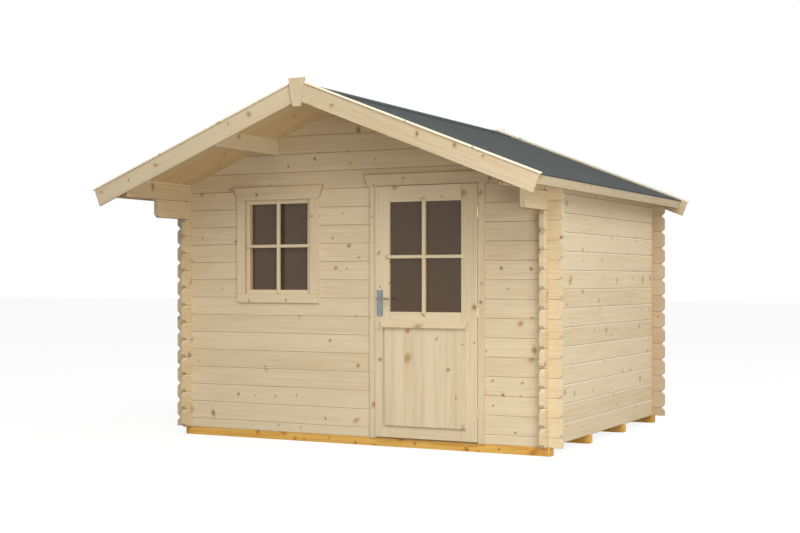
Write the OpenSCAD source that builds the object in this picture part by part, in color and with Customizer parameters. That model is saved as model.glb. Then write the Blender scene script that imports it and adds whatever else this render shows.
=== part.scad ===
// Garden house built of interlocking logs, with a half-glazed door, one window and a
// felted gable roof that runs forward over a porch.
// Frame: +Z up, the front faces -Y, X runs across the front, and the origin is on the
// ground under the middle of the whole house.

/* [Log walls] */
// Visible height of one course of logs
course_h = 135; // [125:1:145]
// Thickness of a wall log
log_t = 34; // [28:1:44]
// Width of the house over the outer faces of the side walls
wall_w = 3010; // [2600:10:3600]
// Depth of the house over the outer faces of the front and back walls
wall_d = 2505; // [2000:5:3000]
// Number of courses in a side wall
side_courses = 14; // [14:1:16]
// How far the front and back logs run past the side walls
front_log_out = 100; // [70:1:130]
// How far the side logs run past the front and back walls
side_log_out = 85; // [70:1:120]
// Size of the chamfers on the corners of each log end
log_end_cut = 26; // [12:1:34]
// Size of the chamfers that make the V between two logs
v_cut = 3; // [1:0.5:5]
// Thickness of the tongue on top of a log
tongue_t = 12; // [8:1:14]
// Height of that tongue
tongue_h = 8; // [5:1:10]
// Joint left open between two logs, and around each notch
log_gap = 0.5; // [0.3:0.1:0.8]

/* [Roof] */
// Pitch of the roof in degrees
roof_pitch = 21.6; // [18:0.2:26]
// Reach of the roof in front of the front wall, to the face of the bargeboards
front_overhang = 814; // [400:2:1000]
// Reach of the roof behind the back wall, to the face of the bargeboards
back_overhang = 165; // [140:5:400]
// Reach of the roof past a side wall, to the top corner of the eaves board
side_overhang = 198; // [150:1:300]
// Thickness of the roof boards
deck_t = 20; // [16:1:24]
// Thickness of the roofing felt
felt_t = 3; // [2:0.5:5]
// Width of the bargeboards, square to the slope
barge_w = 125; // [95:1:150]
// Height of the bargeboards' top edge above the felt
barge_rise = 7; // [0:1:15]
// How far the bargeboards run past the eaves boards, down the slope
barge_end = 54; // [0:2:80]
// Thickness of the bargeboards
barge_t = 18; // [15:1:24]
// Thickness of the cover strip on a bargeboard
strip_t = 12; // [8:1:22]
// Width of that cover strip
strip_w = 32; // [30:1:60]
// How far the cover strip stands out in front of the bargeboard
strip_lip = 10; // [4:1:14]
// How far the cover strip runs past the lower end of the bargeboard
strip_end = 8; // [0:1:20]
// Width of the eaves board, square to the slope
eaves_w = 65; // [50:1:90]
// Thickness of the eaves board
eaves_t = 18; // [15:1:24]
// Drop of the felt over the face of the eaves board, below its top edge
felt_drop = 4; // [1:1:20]
// Reach of the ridge felt down each slope
ridge_felt_w = 150; // [100:5:250]
// Width of the gable keystone board at its top
keystone_top_w = 128; // [110:1:170]
// Width of the keystone board at its foot
keystone_foot_w = 58; // [50:1:90]
// Height of the keystone board
keystone_h = 194; // [150:1:240]
// Thickness of the keystone board
keystone_t = 18; // [15:1:24]
// Height of the keystone's top above the cover strips at the ridge
keystone_rise = 4; // [2:1:20]
// Distance of a purlin's inner face from the middle of the house
purlin_x = 667; // [600:1:760]
// Thickness of a purlin
purlin_t = 34; // [28:1:50]
// How far the corbel log under the roof plate runs in front of the front wall
corbel_out = 430; // [250:10:600]

/* [Base] */
// Height of the floor joists
joist_h = 60; // [45:1:80]
// Width of the floor joists
joist_w = 70; // [50:1:90]
// How far a joist runs past the side walls
joist_out = 14; // [0:1:40]
// Number of joists, from the front wall to the back wall
joists = 4; // [3:1:6]
// Thickness of the floor boards
floor_t = 18; // [16:1:26]
// Gap between the floor boards and the walls
floor_gap = 2; // [1:0.5:8]

/* [Door] */
// Middle of the door, right of the middle of the house
door_x = 582; // [560:1:620]
// Width of the door leaf
leaf_w = 802; // [740:1:840]
// Height of the door leaf
leaf_h = 1813; // [1760:1:1830]
// Thickness of the door leaf
leaf_t = 40; // [34:1:45]
// How far the leaf stands in front of the outer trim
leaf_proud = 13; // [10:1:18]
// Clearance left around the leaf
leaf_gap = 5; // [5:0.5:7]
// Height of the leaf's foot above the bottom of the walls
leaf_lift = 12; // [6:1:14]
// Width of the leaf's stiles
stile_w = 118; // [100:1:140]
// Width of the leaf's top rail
top_rail_w = 115; // [90:1:130]
// Width of the leaf's middle rail
mid_rail_w = 168; // [150:1:190]
// Width of the leaf's bottom rail
bottom_rail_w = 123; // [110:1:160]
// Height of the door's glass that shows
pane_h = 792; // [700:1:820]
// Thickness of the boarded panel on the lower half of the leaf
panel_t = 18; // [12:1:20]
// Width of that boarded panel
panel_w = 643; // [600:1:680]
// Height of the panel's foot above the foot of the leaf
panel_lift = 88; // [60:1:100]
// Width of the drip board over the panel
drip_w = 687; // [650:1:700]
// Height of the drip board
drip_h = 42; // [36:1:60]
// Distance from the glass down to the foot of the drip board
drip_drop = 112; // [100:1:140]
// How much shorter the drip board's foot is than its top, at each end
drip_splay = 17; // [0:1:30]
// How far the drip board stands out at its foot
drip_out = 42; // [24:1:50]
// Depth of the door's glass behind the face of the leaf
door_glass_in = 10; // [8:1:28]

/* [Door frame and trim] */
// Thickness of the lining boards in the door and window openings
lining_t = 28; // [22:1:34]
// Width of the door's outer trim
door_trim_w = 47; // [42:1:60]
// Thickness of the trim boards
trim_t = 16; // [12:1:20]
// How far the stop beads stand into the doorway, past the leaf's clearance
stop_lap = 14; // [12:1:15]
// How far the linings and beads run past the inner face of the wall
inner_out = 16; // [12:1:20]
// Height of the shaped board over the door
door_head_h = 86; // [70:1:110]
// How far the board over the door stands past the uprights at its top
door_head_out = 52; // [35:1:70]
// How far it stands past them at its foot
door_head_foot = 28; // [10:1:34]
// Height of the threshold
threshold_h = 30; // [24:1:40]

/* [Door fittings] */
// Radius of the hinge knuckles
knuckle_r = 5.5; // [5:0.5:6]
// Radius of the hinge pins
hinge_pin_r = 3; // [2.5:0.25:3.5]
// Length of a hinge pin in the upper knuckle
hinge_pin_l = 30; // [20:1:34]
// Clearance of a knuckle from the edge of the leaf
knuckle_gap = 0.5; // [0.3:0.1:0.8]
// Distance of the outer hinges from the ends of the leaf
hinge_end = 198; // [150:1:260]
// Height of one half of a hinge
knuckle_h = 38; // [30:1:50]
// Thickness of the hinge flaps
flap_t = 1.8; // [1.5:0.1:2]
// Depth of the hinge flaps, from the pin
flap_d = 30; // [24:1:32]
// Width of the handle plates
plate_w = 46; // [40:1:48]
// Height of the handle plates
plate_h = 186; // [160:1:220]
// Thickness of the handle plates
plate_t = 6; // [4:1:8]
// Height of the handle plates' top above the spindle
plate_over = 62; // [50:1:80]
// Distance of the spindle from the free edge of the leaf
backset = 38; // [36:1:45]
// Height of the lever above the bottom of the walls
lever_z = 1011; // [950:1:1060]
// Length of the lever from the spindle
lever_l = 98; // [80:1:110]
// Distance of the lever's bar from the handle plate
lever_neck = 42; // [35:1:50]
// Radius of the round bar of the lever
lever_r = 8; // [6:1:9]
// Radius of the spindle
spindle_r = 4; // [3.5:0.25:5]
// Radial clearance of a turning pin in its bore
pin_play = 0.25; // [0.15:0.05:0.4]

/* [Window] */
// Middle of the window, measured from the middle of the house
window_x = -670; // [-720:5:-620]
// Width of the clear opening between the window trims
window_w = 574; // [500:2:640]
// Height of the clear opening
window_h = 714; // [640:2:780]
// Height of the clear opening's foot above the bottom of the walls
window_lift = 1041; // [980:1:1060]
// Width of the window's outer trim
window_trim_w = 74; // [60:1:85]
// Height of the window's bottom trim
window_sill_w = 65; // [55:1:80]
// Height of the shaped board over the window
window_head_h = 100; // [80:1:110]
// How far the board over the window stands past the uprights at its top
window_head_out = 40; // [30:1:60]
// Width of the sash bars that shows
sash_show = 31; // [26:1:44]
// Width of the sash bars hidden behind the opening's edge
sash_lap = 16; // [10:1:20]
// Thickness of the sash
sash_t = 40; // [34:1:45]
// Depth of the sash's face behind the outer face of the wall
sash_set = 6; // [2:1:10]
// Depth of the window's glass behind the face of the sash
window_glass_in = 34; // [20:1:36]
// Thickness of the glass in the door and window
glass_t = 4; // [3:0.5:6]

/* [Hidden] */
$fn = 32;

// Small clearance between pieces that bear on each other
fit = 0.3;
// Overshoot of a cut past the faces it goes through
over = 1;

// Places along the depth, from the reach of the roof in front and behind
front_reach = front_overhang + keystone_t;
back_reach = back_overhang + keystone_t;
front_y = (front_reach - back_reach - wall_d) / 2;
back_y = front_y + wall_d;
side_x = wall_w / 2;
base_z = joist_h + fit;

// Underside of the roof: it meets the inner top corner of the side walls
pitch_slope = tan(roof_pitch);
ridge_z = base_z + side_courses * course_h + pitch_slope * (side_x - log_t);
eaves_x = side_x + side_overhang;
felt_top_n = deck_t + felt_t + fit;
slope_l = (eaves_x - felt_top_n * sin(roof_pitch)) / cos(roof_pitch);
barge_top_n = felt_top_n + barge_rise;
barge_l = slope_l + barge_end;
deck_front_y = front_y - front_overhang + barge_t;
deck_back_y = back_y + back_overhang - barge_t;
gable_courses = ceil((ridge_z - base_z) / course_h + 0.5);
keystone_top_z = ridge_z + (barge_top_n + strip_t) / cos(roof_pitch) + keystone_rise;
// Course of the gables that the roof's underside cuts at the purlins, which lie in it
purlin_course = floor((ridge_z - pitch_slope * (purlin_x + purlin_t) - base_z) / course_h);

// Door
opening_z = base_z + leaf_lift + leaf_h + leaf_gap;
// Courses of the front wall from this one up reach over the doorway
head_course = min(side_courses, floor((opening_z + lining_t - base_z) / course_h + 0.5));
leaf_x0 = door_x - leaf_w / 2;
leaf_x1 = door_x + leaf_w / 2;
leaf_z0 = base_z + leaf_lift;
leaf_z1 = leaf_z0 + leaf_h;
leaf_y0 = front_y - trim_t - leaf_proud;
leaf_y1 = leaf_y0 + leaf_t;
doorway_x0 = leaf_x0 - leaf_gap;
doorway_x1 = leaf_x1 + leaf_gap;
stop_y = leaf_y1 + leaf_gap;
inner_y = front_y + log_t + inner_out;
pane_z1 = leaf_z1 - top_rail_w;
pane_z0 = pane_z1 - pane_h;
panel_z0 = leaf_z0 + panel_lift;
drip_z0 = pane_z0 - drip_drop;
hinge_x = leaf_x1 + knuckle_r + knuckle_gap;
hinge_y = front_y - trim_t - knuckle_r - 2 * knuckle_gap;
hinge_zs = [leaf_z0 + hinge_end, (leaf_z0 + leaf_z1) / 2, leaf_z1 - hinge_end];
spindle_x = leaf_x0 + backset;
spindle_z = base_z + lever_z;

// Window
window_x0 = window_x - window_w / 2;
window_x1 = window_x + window_w / 2;
window_z0 = base_z + window_lift;
window_z1 = window_z0 + window_h;
sash_y0 = front_y + sash_set;
sash_y1 = sash_y0 + sash_t;

pine = [0.86, 0.77, 0.62];
pine_dark = [0.80, 0.70, 0.54];
amber = [0.85, 0.66, 0.33];
felt_grey = [0.36, 0.40, 0.40];
steel = [0.60, 0.63, 0.66];
pane_tint = [0.35, 0.29, 0.24, 0.6];

// ---------- Logs ----------

// Section of a log: across by up, with V chamfers, a tongue on top and a groove below
module log_section(h, tongued = true, grooved = true) {
  top = h - log_gap;
  mid = log_t / 2;
  tongue = tongue_t / 2;
  groove = tongue + log_gap;
  groove_h = tongue_h + log_gap;
  polygon(concat(
    [[v_cut, 0]],
    grooved ? [[mid - groove, 0], [mid - groove, groove_h], [mid + groove, groove_h],
               [mid + groove, 0]] : [],
    [[log_t - v_cut, 0], [log_t, v_cut], [log_t, top - v_cut], [log_t - v_cut, top]],
    tongued ? [[mid + tongue, top], [mid + tongue, top + tongue_h], [mid - tongue, top + tongue_h],
               [mid - tongue, top]] : [],
    [[v_cut, top], [0, top - v_cut], [0, v_cut]]
  ));
}

// Waste outside a chamfer of size c on a corner, dir pointing from the corner into the outline
module corner_waste(corner, dir, c) {
  polygon([for (p = [[-over, -over], [c, -over], [c, 0], [0, c], [-over, c]])
           corner + [dir[0] * p[0], dir[1] * p[1]]]);
}

// Side view of a log from a to b: chamfered ends, and a notch over and under each crossing wall.
// low and high give the sizes of the chamfers at the ends a and b.
module log_outline(a, b, h, low = [0, 0], high = [0, 0], crossings = [], under = true) {
  top = h - log_gap;
  notch = course_h / 4;
  difference() {
    union() {
      translate([a, 0]) square([b - a, top]);
      translate([a + high[0], top - over]) square([b - a - high[0] - high[1], tongue_h + 2 * over]);
    }
    if (low[0] > 0) corner_waste([a, 0], [1, 1], low[0]);
    if (low[1] > 0) corner_waste([b, 0], [-1, 1], low[1]);
    if (high[0] > 0) corner_waste([a, top], [1, -1], high[0]);
    if (high[1] > 0) corner_waste([b, top], [-1, -1], high[1]);
    for (c = crossings) translate([c - log_gap, 0]) {
      translate([0, top - notch]) square([log_t + 2 * log_gap, notch + tongue_h + 2 * over]);
      if (under) translate([0, -over]) square([log_t + 2 * log_gap, notch + over]);
    }
  }
}

// A log that runs along X with its outer face at y; children() is its side view
module log_along_x(a, b, y, z, h, tongued = true, grooved = true) {
  intersection() {
    translate([a, y, z]) rotate([90, 0, 90]) linear_extrude(b - a) log_section(h, tongued, grooved);
    translate([0, y + log_t + over, z]) rotate([90, 0, 0]) linear_extrude(log_t + 2 * over) children();
  }
}

// A log that runs along Y with its left face at x; children() is its side view
module log_along_y(a, b, x, z, h, tongued = true, grooved = true) {
  intersection() {
    translate([x, b, z]) rotate([90, 0, 0]) linear_extrude(b - a) log_section(h, tongued, grooved);
    translate([x - over, 0, z]) rotate([90, 0, 90]) linear_extrude(log_t + 2 * over) children();
  }
}

// Height of the roof's underside at distance x from the middle
function under_roof(x) = ridge_z - pitch_slope * abs(x);

// Everything below the roof's underside, seen from the front
module below_roof() {
  eaves_z = under_roof(eaves_x) - fit;
  translate([0, deck_back_y, 0]) rotate([90, 0, 0]) linear_extrude(deck_back_y - deck_front_y)
    polygon([[-eaves_x, 0], [eaves_x, 0], [eaves_x, eaves_z], [0, ridge_z - fit], [-eaves_x, eaves_z]]);
}

// Foot and height of course k of the front and back walls, which start with half a log
function course_foot(k) = base_z + (k == 0 ? 0 : (k - 0.5) * course_h);
function course_height(k) = k == 0 ? course_h / 2 : course_h;

side_crossings = [-side_x, side_x - log_t];
log_end_x = side_x + front_log_out;

// Course k of a wall across the house, between a and b, at depth y
module cross_log(k, a, b, y) {
  ends = [a <= -log_end_x ? log_end_cut : 0, b >= log_end_x ? log_end_cut : 0];
  log_along_x(a, b, y, course_foot(k), course_height(k), true, k > 0)
    log_outline(a, b, course_height(k), k == 0 ? [0, 0] : ends, ends,
                [for (c = side_crossings) if (c > a && c < b) c], k > 0);
}

// Hole through the front wall for the window and its linings
module window_hole() {
  translate([window_x0 - lining_t, front_y - over, window_z0 - lining_t])
    cube([window_w + 2 * lining_t, log_t + 2 * over, window_h + 2 * lining_t]);
}

// Hole through the front wall for the door and its linings
module door_hole() {
  translate([doorway_x0 - lining_t, front_y - over, base_z - over])
    cube([leaf_w + 2 * leaf_gap + 2 * lining_t, log_t + 2 * over, opening_z + lining_t - base_z + over]);
}

// Courses of the front wall beside the doorway
module front_wall_left() {
  color(pine) difference() {
    for (k = [0 : head_course - 1]) cross_log(k, -log_end_x, doorway_x0 - lining_t, front_y);
    window_hole();
  }
}

module front_wall_right() {
  color(pine) for (k = [0 : head_course - 1]) cross_log(k, doorway_x1 + lining_t, log_end_x, front_y);
}

// Logs of a wall from course first up, cut to the roof and notched round the two purlins.
// Those over the side walls stop at their outer faces.
module gable(y, first) {
  color(pine) difference() {
    intersection() {
      for (k = [first : gable_courses]) {
        end = k <= side_courses ? log_end_x : side_x;
        cross_log(k, -end, end, y);
      }
      below_roof();
    }
    for (side = [-1, 1]) purlin_space(side, y);
  }
}

module purlin_space(side, y) {
  foot = course_foot(purlin_course) - log_gap;
  x = side > 0 ? purlin_x : -purlin_x - purlin_t;
  translate([x - log_gap, y - over, foot]) cube([purlin_t + 2 * log_gap, log_t + 2 * over, 2 * course_h]);
}

module front_gable() {
  difference() {
    gable(front_y, head_course);
    door_hole();
    window_hole();
  }
}

module back_gable() gable(back_y - log_t, side_courses);

module back_wall() {
  color(pine) for (k = [0 : side_courses - 1]) cross_log(k, -log_end_x, log_end_x, back_y - log_t);
}

// Course k of a side wall; the top one runs out to both bargeboards, the one below is a corbel
module side_log(k, x) {
  top = k == side_courses - 1;
  corbel = k == side_courses - 2;
  a = top ? deck_front_y + fit : front_y - (corbel ? corbel_out : side_log_out);
  b = top ? deck_back_y - fit : back_y + side_log_out;
  low = [top ? 0 : log_end_cut, top ? 0 : log_end_cut];
  high = [top || corbel ? 0 : log_end_cut, top ? 0 : log_end_cut];
  log_along_y(a, b, x, base_z + k * course_h, course_h, !top, k > 0)
    log_outline(a, b, course_h, low, high, [front_y, back_y - log_t], true);
}

module side_wall(x) {
  color(pine) intersection() {
    for (k = [0 : side_courses - 1]) side_log(k, x);
    below_roof();
  }
}

module left_wall() side_wall(-side_x);
module right_wall() side_wall(side_x - log_t);

module purlin() {
  foot = course_foot(purlin_course);
  color(pine) intersection() {
    translate([purlin_x, deck_front_y + fit, foot])
      cube([purlin_t, deck_back_y - deck_front_y - 2 * fit, 2 * course_h]);
    below_roof();
  }
}

module right_purlin() purlin();
module left_purlin() mirror([1, 0, 0]) purlin();

// ---------- Base ----------

module floor_joists() {
  pitch = (wall_d - joist_w) / (joists - 1);
  color(amber) for (i = [0 : joists - 1])
    translate([-side_x - joist_out, front_y + i * pitch, 0])
      cube([wall_w + 2 * joist_out, joist_w, joist_h]);
}

// Floor boards inside the walls, cut round the beads of the door frame
module floor_boards() {
  edge = log_t + floor_gap;
  color(pine_dark) difference() {
    box(edge - side_x, side_x - edge, front_y + edge, back_y - edge, base_z, base_z + floor_t);
    for (x = [doorway_x0 - lining_t, doorway_x1 - stop_lap - fit])
      box(x, x + lining_t + stop_lap + fit, front_y, inner_y + fit, 0, base_z + floor_t + over);
  }
}

// ---------- Roof ----------

// Distance down the slope at which height n above the underside lies at x from the middle
function down_slope(x, n) = (x - n * sin(roof_pitch)) / cos(roof_pitch);

// Runs a profile, drawn down the slope by up from it, along the right slope from y0 to y1
module along_slope(y0, y1) {
  translate([0, y1, ridge_z]) rotate([90, roof_pitch, 0]) linear_extrude(y1 - y0) children();
}

// Board lying in the slope between heights n0 and n1, with a plumb cut at x and a square end
module slope_board(x, n0, n1, end) {
  polygon([[down_slope(x, n0), n0], [end, n0], [end, n1], [down_slope(x, n1), n1]]);
}

module roof_deck() {
  color(pine_dark) along_slope(deck_front_y + fit, deck_back_y - fit)
    slope_board(fit, 0, deck_t, slope_l - eaves_t - fit);
}

module right_roof_deck() roof_deck();
module left_roof_deck() mirror([1, 0, 0]) roof_deck();

// Felt on the slope, folded down over the eaves board
module roof_felt() {
  foot = deck_t + fit;
  top = foot + felt_t;
  lip = deck_t - felt_drop;
  reach = slope_l + fit + felt_t;
  color(felt_grey) along_slope(deck_front_y + fit, deck_back_y - fit)
    polygon([[down_slope(fit, foot), foot], [slope_l + fit, foot], [slope_l + fit, lip], [reach, lip],
             [reach, top], [down_slope(fit, top), top]]);
}

module right_roof_felt() roof_felt();
module left_roof_felt() mirror([1, 0, 0]) roof_felt();

// One strip of felt bent over the ridge
module ridge_felt() {
  foot = deck_t + felt_t + 2 * fit;
  y0 = deck_front_y + strip_w;
  y1 = deck_back_y - strip_w;
  color(felt_grey) union() {
    for (side = [0, 1]) mirror([side, 0, 0]) along_slope(y0, y1)
      slope_board(0, foot, foot + felt_t, ridge_felt_w);
  }
}

module eaves_board() {
  color(pine) along_slope(deck_front_y + fit, deck_back_y - fit)
    translate([slope_l - eaves_t, deck_t - eaves_w]) square([eaves_t, eaves_w]);
}

module right_eaves_board() eaves_board();
module left_eaves_board() mirror([1, 0, 0]) eaves_board();

module bargeboard(y) {
  color(pine) along_slope(y, y + barge_t)
    slope_board(fit, barge_top_n - barge_w, barge_top_n, barge_l);
}

front_barge_y = front_y - front_overhang;
back_barge_y = deck_back_y;

module front_right_bargeboard() bargeboard(front_barge_y);
module front_left_bargeboard() mirror([1, 0, 0]) bargeboard(front_barge_y);
module back_right_bargeboard() bargeboard(back_barge_y);
module back_left_bargeboard() mirror([1, 0, 0]) bargeboard(back_barge_y);

// Cover strip over the top edge of a bargeboard whose face is at y, bevelled on its outer top edge.
// Its section is drawn across the board by up, and cut plumb at the ridge.
module cover_strip(y, out) {
  foot = barge_top_n + fit;
  top = foot + strip_t;
  bevel = strip_t / 2;
  outer = y + out * strip_lip;
  inner = outer - out * strip_w;
  intersection() {
    translate([0, 0, ridge_z]) rotate([0, roof_pitch, 0]) rotate([90, 0, 90])
      translate([0, 0, -strip_w]) linear_extrude(barge_l + 2 * strip_w)
        polygon([[inner, foot], [outer, foot], [outer, top - bevel], [outer - out * bevel, top],
                 [inner, top]]);
    along_slope(min(inner, outer), max(inner, outer)) slope_board(fit, foot, top, barge_l + strip_end);
  }
}

module keystone_outline(grow = 0) {
  top = keystone_top_w / 2 + grow;
  foot = keystone_foot_w / 2 + grow;
  polygon([[-foot, -keystone_h - grow], [foot, -keystone_h - grow], [top, grow], [-top, grow]]);
}

module keystone(y, grow = 0) {
  translate([0, y + keystone_t + grow, keystone_top_z]) rotate([90, 0, 0])
    linear_extrude(keystone_t + 2 * grow) keystone_outline(grow);
}

front_keystone_y = front_barge_y - keystone_t - fit;
back_keystone_y = back_barge_y + barge_t + fit;

module cover_strips(y, out, keystone_y) {
  color(pine) difference() {
    for (side = [0, 1]) mirror([side, 0, 0]) cover_strip(y, out);
    keystone(keystone_y, fit);
  }
}

module front_cover_strips() cover_strips(front_barge_y, -1, front_keystone_y);
module back_cover_strips() cover_strips(back_barge_y + barge_t, 1, back_keystone_y);
module front_keystone() color(pine) keystone(front_keystone_y);
module back_keystone() color(pine) keystone(back_keystone_y);

// ---------- Door frame ----------

module box(x0, x1, y0, y1, z0, z1) {
  translate([x0, y0, z0]) cube([x1 - x0, y1 - y0, z1 - z0]);
}

// Shaped board of height h over a door or window, standing past the uprights' outer edges at
// x0 and x1 by foot_out at its foot, where ears run down onto them, and by top_out at its top
module head_trim(x0, x1, y0, y1, z, h, foot_out, top_out) {
  step_h = h / 5;
  step_out = (3 * foot_out + top_out) / 4;
  ear_h = foot_out / 2;
  right = concat(
    foot_out > 0 ? [[x1 + fit, 0], [x1 + fit, -ear_h]] : [],
    [[x1 + foot_out, 0], [x1 + step_out, step_h], [x1 + top_out, h]]
  );
  left = [for (i = [len(right) - 1 : -1 : 0]) [x0 + x1 - right[i][0], right[i][1]]];
  translate([0, y1, z]) rotate([90, 0, 0]) linear_extrude(y1 - y0) polygon(concat(right, left));
}

// Linings between the logs, and stop beads behind the leaf
module door_frame() {
  stop_top = opening_z - leaf_gap - stop_lap;
  color(pine) {
    box(doorway_x0 - lining_t + fit, doorway_x0, front_y, stop_y - fit, base_z, opening_z);
    box(doorway_x1, doorway_x1 + lining_t - fit, front_y, stop_y - fit, base_z, opening_z);
    box(doorway_x0 - lining_t + fit, doorway_x1 + lining_t - fit, front_y, stop_y - fit,
        opening_z + fit, opening_z + lining_t - fit);
    box(doorway_x0 - lining_t + fit, doorway_x0 + stop_lap, stop_y, inner_y, base_z, stop_top);
    box(doorway_x1 - stop_lap, doorway_x1 + lining_t - fit, stop_y, inner_y, base_z, stop_top);
    box(doorway_x0 - lining_t + fit, doorway_x1 + lining_t - fit, stop_y, inner_y,
        stop_top + fit, opening_z + lining_t - fit);
  }
}

module door_threshold() {
  color(pine_dark) box(doorway_x0 + stop_lap + fit, doorway_x1 - stop_lap - fit,
                       stop_y, front_y + log_t + floor_gap / 2, base_z, base_z + threshold_h);
}

module door_outer_trim() {
  y0 = front_y - trim_t;
  y1 = front_y - fit;
  color(pine) {
    box(doorway_x0 - door_trim_w, doorway_x0, y0, y1, base_z, opening_z - fit);
    box(doorway_x1, doorway_x1 + door_trim_w, y0, y1, base_z, opening_z - fit);
    head_trim(doorway_x0 - door_trim_w, doorway_x1 + door_trim_w, y0, y1, opening_z,
              door_head_h, door_head_foot, door_head_out);
  }
}

module door_inner_trim() {
  y0 = front_y + log_t + fit;
  x0 = doorway_x0 - lining_t;
  x1 = doorway_x1 + lining_t;
  z1 = opening_z + lining_t;
  foot = base_z + floor_t + fit;
  color(pine) {
    box(x0 - door_trim_w, x0 - fit, y0, inner_y, foot, z1 - fit);
    box(x1 + fit, x1 + door_trim_w, y0, inner_y, foot, z1 - fit);
    box(x0 - door_trim_w, x1 + door_trim_w, y0, inner_y, z1 + fit, z1 + door_trim_w);
  }
}

// Lower half of a lift-off hinge: flap on the lining, knuckle and pin
module door_frame_hinges() {
  color(steel) for (z = hinge_zs) {
    translate([hinge_x, hinge_y, z - knuckle_h]) cylinder(h = knuckle_h - fit, r = knuckle_r);
    translate([hinge_x, hinge_y, z - over]) cylinder(h = hinge_pin_l + over, r = hinge_pin_r);
    box(doorway_x1 - fit - flap_t, doorway_x1 - fit, hinge_y, hinge_y + flap_d, z - knuckle_h, z - fit);
  }
}

// ---------- Door leaf ----------

module door_leaf_frame() {
  mid_z1 = pane_z0;
  mid_z0 = pane_z0 - mid_rail_w;
  rail_x0 = leaf_x0 + stile_w + fit;
  rail_x1 = leaf_x1 - stile_w - fit;
  color(pine) {
    difference() {
      box(leaf_x0, leaf_x0 + stile_w, leaf_y0, leaf_y1, leaf_z0, leaf_z1);
      translate([spindle_x, leaf_y1 + over, spindle_z]) rotate([90, 0, 0])
        cylinder(h = leaf_t + 2 * over, r = 2 * spindle_r);
    }
    box(leaf_x1 - stile_w, leaf_x1, leaf_y0, leaf_y1, leaf_z0, leaf_z1);
    box(rail_x0, rail_x1, leaf_y0, leaf_y1, pane_z1, leaf_z1);
    box(rail_x0, rail_x1, leaf_y0, leaf_y1, mid_z0, mid_z1);
    box(rail_x0, rail_x1, leaf_y0, leaf_y1, leaf_z0, leaf_z0 + bottom_rail_w);
  }
}

module door_panel() {
  color(pine) box(door_x - panel_w / 2, door_x + panel_w / 2, leaf_y0 - fit - panel_t, leaf_y0 - fit,
                  panel_z0, drip_z0 - fit);
}

module door_glass() {
  y = leaf_y0 + door_glass_in;
  x0 = leaf_x0 + stile_w + 2 * fit;
  x1 = leaf_x1 - stile_w - 2 * fit;
  color(pane_tint) box(x0, x1, y, y + glass_t, pane_z0 + fit, pane_z1 - fit);
}

// Wedge that throws water clear of the panel, with splayed ends
module door_drip_board() {
  y = leaf_y0 - fit;
  half = drip_w / 2;
  nose_h = drip_h * 0.4;
  top_out = drip_out / 3;
  color(pine) intersection() {
    translate([door_x - half, y, drip_z0]) rotate([90, 0, 90]) linear_extrude(drip_w)
      polygon([[0, 0], [-drip_out, 0], [-drip_out, nose_h], [-top_out, drip_h], [0, drip_h]]);
    translate([door_x, y + over, drip_z0]) rotate([90, 0, 0]) linear_extrude(drip_out + 2 * over)
      polygon([[-half + drip_splay, 0], [half - drip_splay, 0], [half, drip_h], [-half, drip_h]]);
  }
}

// Upper half of a lift-off hinge: flap on the leaf's edge, and a bored knuckle
module door_leaf_hinges() {
  color(steel) for (z = hinge_zs) difference() {
    union() {
      translate([hinge_x, hinge_y, z]) cylinder(h = knuckle_h, r = knuckle_r);
      box(leaf_x1 + fit, leaf_x1 + fit + flap_t, hinge_y, hinge_y + flap_d, z, z + knuckle_h);
    }
    translate([hinge_x, hinge_y, z - over])
      cylinder(h = hinge_pin_l + 2 * over, r = hinge_pin_r + pin_play);
  }
}

module handle_plate(y) {
  difference() {
    box(spindle_x - plate_w / 2, spindle_x + plate_w / 2, y, y + plate_t,
        spindle_z + plate_over - plate_h, spindle_z + plate_over);
    translate([spindle_x, y + plate_t + over, spindle_z]) rotate([90, 0, 0])
      cylinder(h = plate_t + 2 * over, r = spindle_r + pin_play);
  }
}

module door_handle_plates() {
  color(steel) {
    handle_plate(leaf_y0 - fit - plate_t);
    handle_plate(leaf_y1 + fit);
  }
}

// Lever on one side: neck off the plate, then a bar towards the hinges
module lever_arm(out) {
  rotate([out < 0 ? 90 : -90, 0, 0]) cylinder(h = lever_neck, r = lever_r);
  translate([0, out * lever_neck, 0]) {
    sphere(lever_r);
    rotate([0, 90, 0]) cylinder(h = lever_l - lever_r, r = lever_r);
    translate([lever_l - lever_r, 0, 0]) sphere(lever_r);
  }
}

module door_lever() {
  out_y = leaf_y0 - 2 * fit - plate_t;
  in_y = leaf_y1 + 2 * fit + plate_t;
  color(steel) union() {
    translate([spindle_x, in_y + over, spindle_z]) rotate([90, 0, 0])
      cylinder(h = in_y - out_y + 2 * over, r = spindle_r);
    translate([spindle_x, out_y, spindle_z]) lever_arm(-1);
    translate([spindle_x, in_y, spindle_z]) lever_arm(1);
  }
}

// ---------- Window ----------

// Ring of four boards round a rectangle, uprights between the top and bottom boards
module board_ring(x0, x1, z0, z1, w, y0, y1) {
  box(x0 - w, x0, y0, y1, z0 + fit, z1 - fit);
  box(x1, x1 + w, y0, y1, z0 + fit, z1 - fit);
  box(x0 - w, x1 + w, y0, y1, z1, z1 + w);
  box(x0 - w, x1 + w, y0, y1, z0 - w, z0);
}

module window_frame() {
  color(pine) board_ring(window_x0 - sash_lap - 2 * fit, window_x1 + sash_lap + 2 * fit,
                         window_z0 - sash_lap - 2 * fit, window_z1 + sash_lap + 2 * fit,
                         lining_t - sash_lap - 3 * fit, front_y, inner_y);
}

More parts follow.
